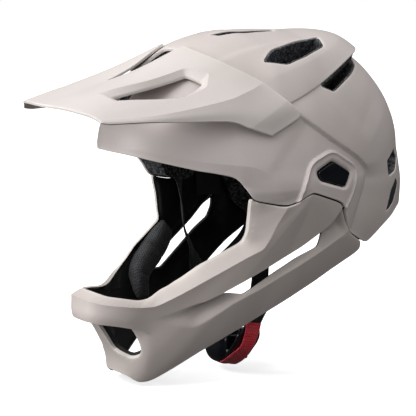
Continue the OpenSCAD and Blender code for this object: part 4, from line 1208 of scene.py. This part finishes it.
def makePad(p, s):
    rings, away, u, v, inner = p["rings"]
    fine, away = finer(rings, s["finer"]), finer(away, s["finer"])
    marks = finer(np.stack([u, v, inner * 1.0], -1), s["finer"])
    u, v, inner = marks[..., 0], marks[..., 1], ease(marks[..., 2] * 1.6 - 0.3)
    # sewn channels across the pad and a piping seam along its sides: -depth e^(-(distance/width)^2)
    gap = np.min([np.abs(u - c) for c in p["channels"]], 0) * p["size"][0] / 2
    seam = np.abs(np.abs(v) - 0.9) * p["size"][1] / 2
    sink = (s["channel"] * np.exp(-(gap / 1.5) ** 2) * ease((0.96 - np.abs(v)) / 0.3)
            + s["piping"] * np.exp(-(seam / 0.7) ** 2))
    fine = (fine + away * (sink * inner)[..., None]) * [p.get("side", 1), 1, 1]
    # UV: lengths in mm along the pad and round its ring
    steps = [np.linalg.norm(np.diff(fine, axis=k, prepend=fine.take([0], k)), axis=2) for k in (0, 1)]
    along, around = (np.cumsum(steps[k], k).mean(1 - k) for k in (0, 1))
    uv = np.stack(np.meshgrid(along, around, indexing="ij"), -1).reshape(-1, 2)
    piece = makeMesh(p["name"] + "_cushion", fine.reshape(-1, 3), tube(fine), p.get("body", "helmet"),
                     "pad_fabric", 0, uv=uv)
    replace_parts(piece, p["name"])
    return piece


for p in pads:
    p["rings"] = padRings(p, 0.85)
inflate(pads, padSettings)
for p in pads:
    makePad(p, padSettings)
print("pads made")


# buckle: housing under the chin, curved tongue that slides out of it, and rivet heads
def makeBlock(name, centre, half, power, draw, slot, body="helmet"):
    # superellipsoid: |x|^p + |y|^p + |z|^p = 1 in its half sizes, drawn in towards its underside
    lat, lon = np.radians(np.linspace(-90, 90, 41))[:, None], np.radians(np.arange(0, 360, 5))[None, :]
    signed = lambda t: np.sign(t) * np.abs(t) ** (2 / power)
    x, y = signed(np.cos(lat)) * signed(np.cos(lon)), signed(np.cos(lat)) * signed(np.sin(lon))
    z = signed(np.sin(lat)) + 0 * x
    narrow = 1 - draw * np.maximum(-z, 0) ** 2
    rings = np.stack([x * narrow, y * narrow, z], -1) * half + centre
    keep, back = np.unique(np.round(rings.reshape(-1, 3), 4), axis=0, return_inverse=True)
    return makeMesh(name, keep, whole(back.ravel()[halves(ringQuads(*rings.shape[:2]))]), body, slot, 45)


for side, name in ((1, "left"), (-1, "right")):
    plate = makeBlock("strap_divider_plate_" + name, (side * 48.8, -11, -88.5), (3.4, 13.5, 8), 6, 0,
                      "black_plastic")
    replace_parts(plate, "strap_divider_" + name)
housing = makeBlock("buckle_housing", (-4, -20, -138.6), (17.5, 12.5, 14.4), 5, 0.26, "black_gloss")
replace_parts(housing, "buckle_base")
for number, (x, f, z) in enumerate(((13.6, 27.5, -140), (13.2, 27.5, -144), (12.4, 27.5, -147.5),
                                    (13.6, 13, -132))):
    makeBlock("rivet_head_" + str(number), (x, -f, z), (0.9, 1.2, 1.2), 2.2, 0, "magnet_steel")
arcSettings = dict(step=1.0, thick=5.0, width=[20, 21, 21, 18], widthAt=[0, 0.15, 0.8, 1], rib=0.0,
                   ribbed=0, pitch=2)
arcPath = [[14.6, 20, -144.3], [17.5, 20, -142], [21.5, 19.6, -137.8], [27.6, 18.6, -131], [30.2, 17.6, -125],
           [31, 17, -119]]
plateSettings = dict(arcSettings, thick=3.6, width=[18, 18], widthAt=[0, 1])
for name, path, s in (("buckle_tongue_arc", arcPath, arcSettings),
                      ("buckle_tongue_plate", [[-14, 20, -145], [4, 20, -145], [18, 20.5, -145]],
                       plateSettings)):
    piece = bandSkin(name, path, straight, s, "buckle", "black_gloss")[0]
    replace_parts(piece, "buckle_tongue")
magnet = makeBlock("tongue_magnet_disc", (-9, -20, -145), (3.6, 4.6, 2.1), 3, 0, "magnet_steel", "buckle")
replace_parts(magnet, "buckle_magnet_tongue")
tabSettings = dict(step=0.35, thick=1.5, width=[13.8, 12.6, 12, 14.2, 14.6, 14.4], rib=0.5, ribbed=0.52,
                   pitch=2.1, widthAt=[0, 0.12, 0.48, 0.6, 0.94, 1], restsOn=["buckle_tongue_arc"])
tabPath = [[38.6, 17.4, -113.5], [38.6, 18.4, -119], [38, 19.5, -124.3], [35, 21, -131.9], [27, 22.5, -139.8],
           [20, 23.4, -145.2], [12, 24, -149.6], [8, 24.2, -151]]
tabWide = [[0, 1, 0], [0, 1, 0], [0, 0.96, -0.27], [0, 0.97, -0.22]]
tab = makeBand("pull_tab_band", tabPath, tabWide, tabSettings, "buckle", "red_webbing")
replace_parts(tab, "pull_tab")
print("buckle made")


# floor, light and backdrop
def seenByCamera(tree):
    path = addNode(tree, "ShaderNodeLightPath").outputs
    return mathNode(tree, "MAXIMUM", path["Is Camera Ray"], path["Is Transmission Ray"])


def makeStage(size=6, gap=0.004):
    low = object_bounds()[0][2] - gap
    mesh = bpy.data.meshes.new("floor")
    mesh.from_pydata([(-size, -size, low), (size, -size, low), (size, size, low), (-size, size, low)], [],
                     [(0, 1, 2, 3)])
    newObject("floor", mesh)
    # matt studio floor: takes the object's soft shadow and reads as white paper to the camera
    material = bpy.data.materials.new("paleFloor")
    tree = emptyTree(material)
    grain = addNode(tree, "ShaderNodeTexNoise", {"Scale": 30.0, "Detail": 2.0}).outputs["Fac"]
    dull, pale = (addNode(tree, "ShaderNodeBsdfDiffuse", {"Color": ramp(tree, grain, (0, low),
                                                                        (1, high))}).outputs[0]
                  for low, high in ((0.06, 0.08), (0.95, 0.98)))
    glow = addNode(tree, "ShaderNodeEmission", {"Color": (1, 1, 1, 1), "Strength": 0.6}).outputs[0]
    lit = addNode(tree, "ShaderNodeAddShader", {0: pale, 1: glow}).outputs[0]
    both = addNode(tree, "ShaderNodeMixShader", {0: seenByCamera(tree), 1: dull, 2: lit}).outputs[0]
    addNode(tree, "ShaderNodeOutputMaterial", {"Surface": both})
    mesh.materials.append(material)


def makeLamp(name, place, aim, size, power):
    data = bpy.data.lights.new(name, "AREA")
    data.shape, data.size, data.size_y, data.energy = "RECTANGLE", size[0], size[1], power
    aimed(name, data, place, Vector(aim) - Vector(place))


def makeWorld(above, below):
    # white to the camera; to the object a dome that fades from above to below
    world = bpy.data.worlds.new("studio")
    scene.world = world
    tree = emptyTree(world)
    direction = addNode(tree, "ShaderNodeTexCoord").outputs["Generated"]
    up = addNode(tree, "ShaderNodeSeparateXYZ", {0: direction}).outputs["Z"]
    dome, white = (addNode(tree, "ShaderNodeBackground", {"Color": colour, "Strength": 1.0}).outputs[0]
                   for colour in (ramp(tree, up, (0, below), (0.75, above)), (1, 1, 1, 1)))
    both = addNode(tree, "ShaderNodeMixShader", {0: seenByCamera(tree), 1: dome, 2: white}).outputs[0]
    addNode(tree, "ShaderNodeOutputWorld", {"Surface": both})


makeStage()
makeWorld(1.05, 0.0)
makeLamp("front", (-0.5, -1.9, 0.0), (0, 0, -0.03), (1.2, 0.9), 37)
makeLamp("high", (0.1, -1.5, 1.2), (0, 0, -0.03), (1.1, 0.8), 17)
makeLamp("side", (1.7, 0.3, 1.1), (0, 0, 0), (1.4, 1.0), 1.3)
makeLamp("low", (2.0, -0.7, 0.0), (0, 0, -0.08), (0.8, 0.3), 2.2)
print("stage and light made")
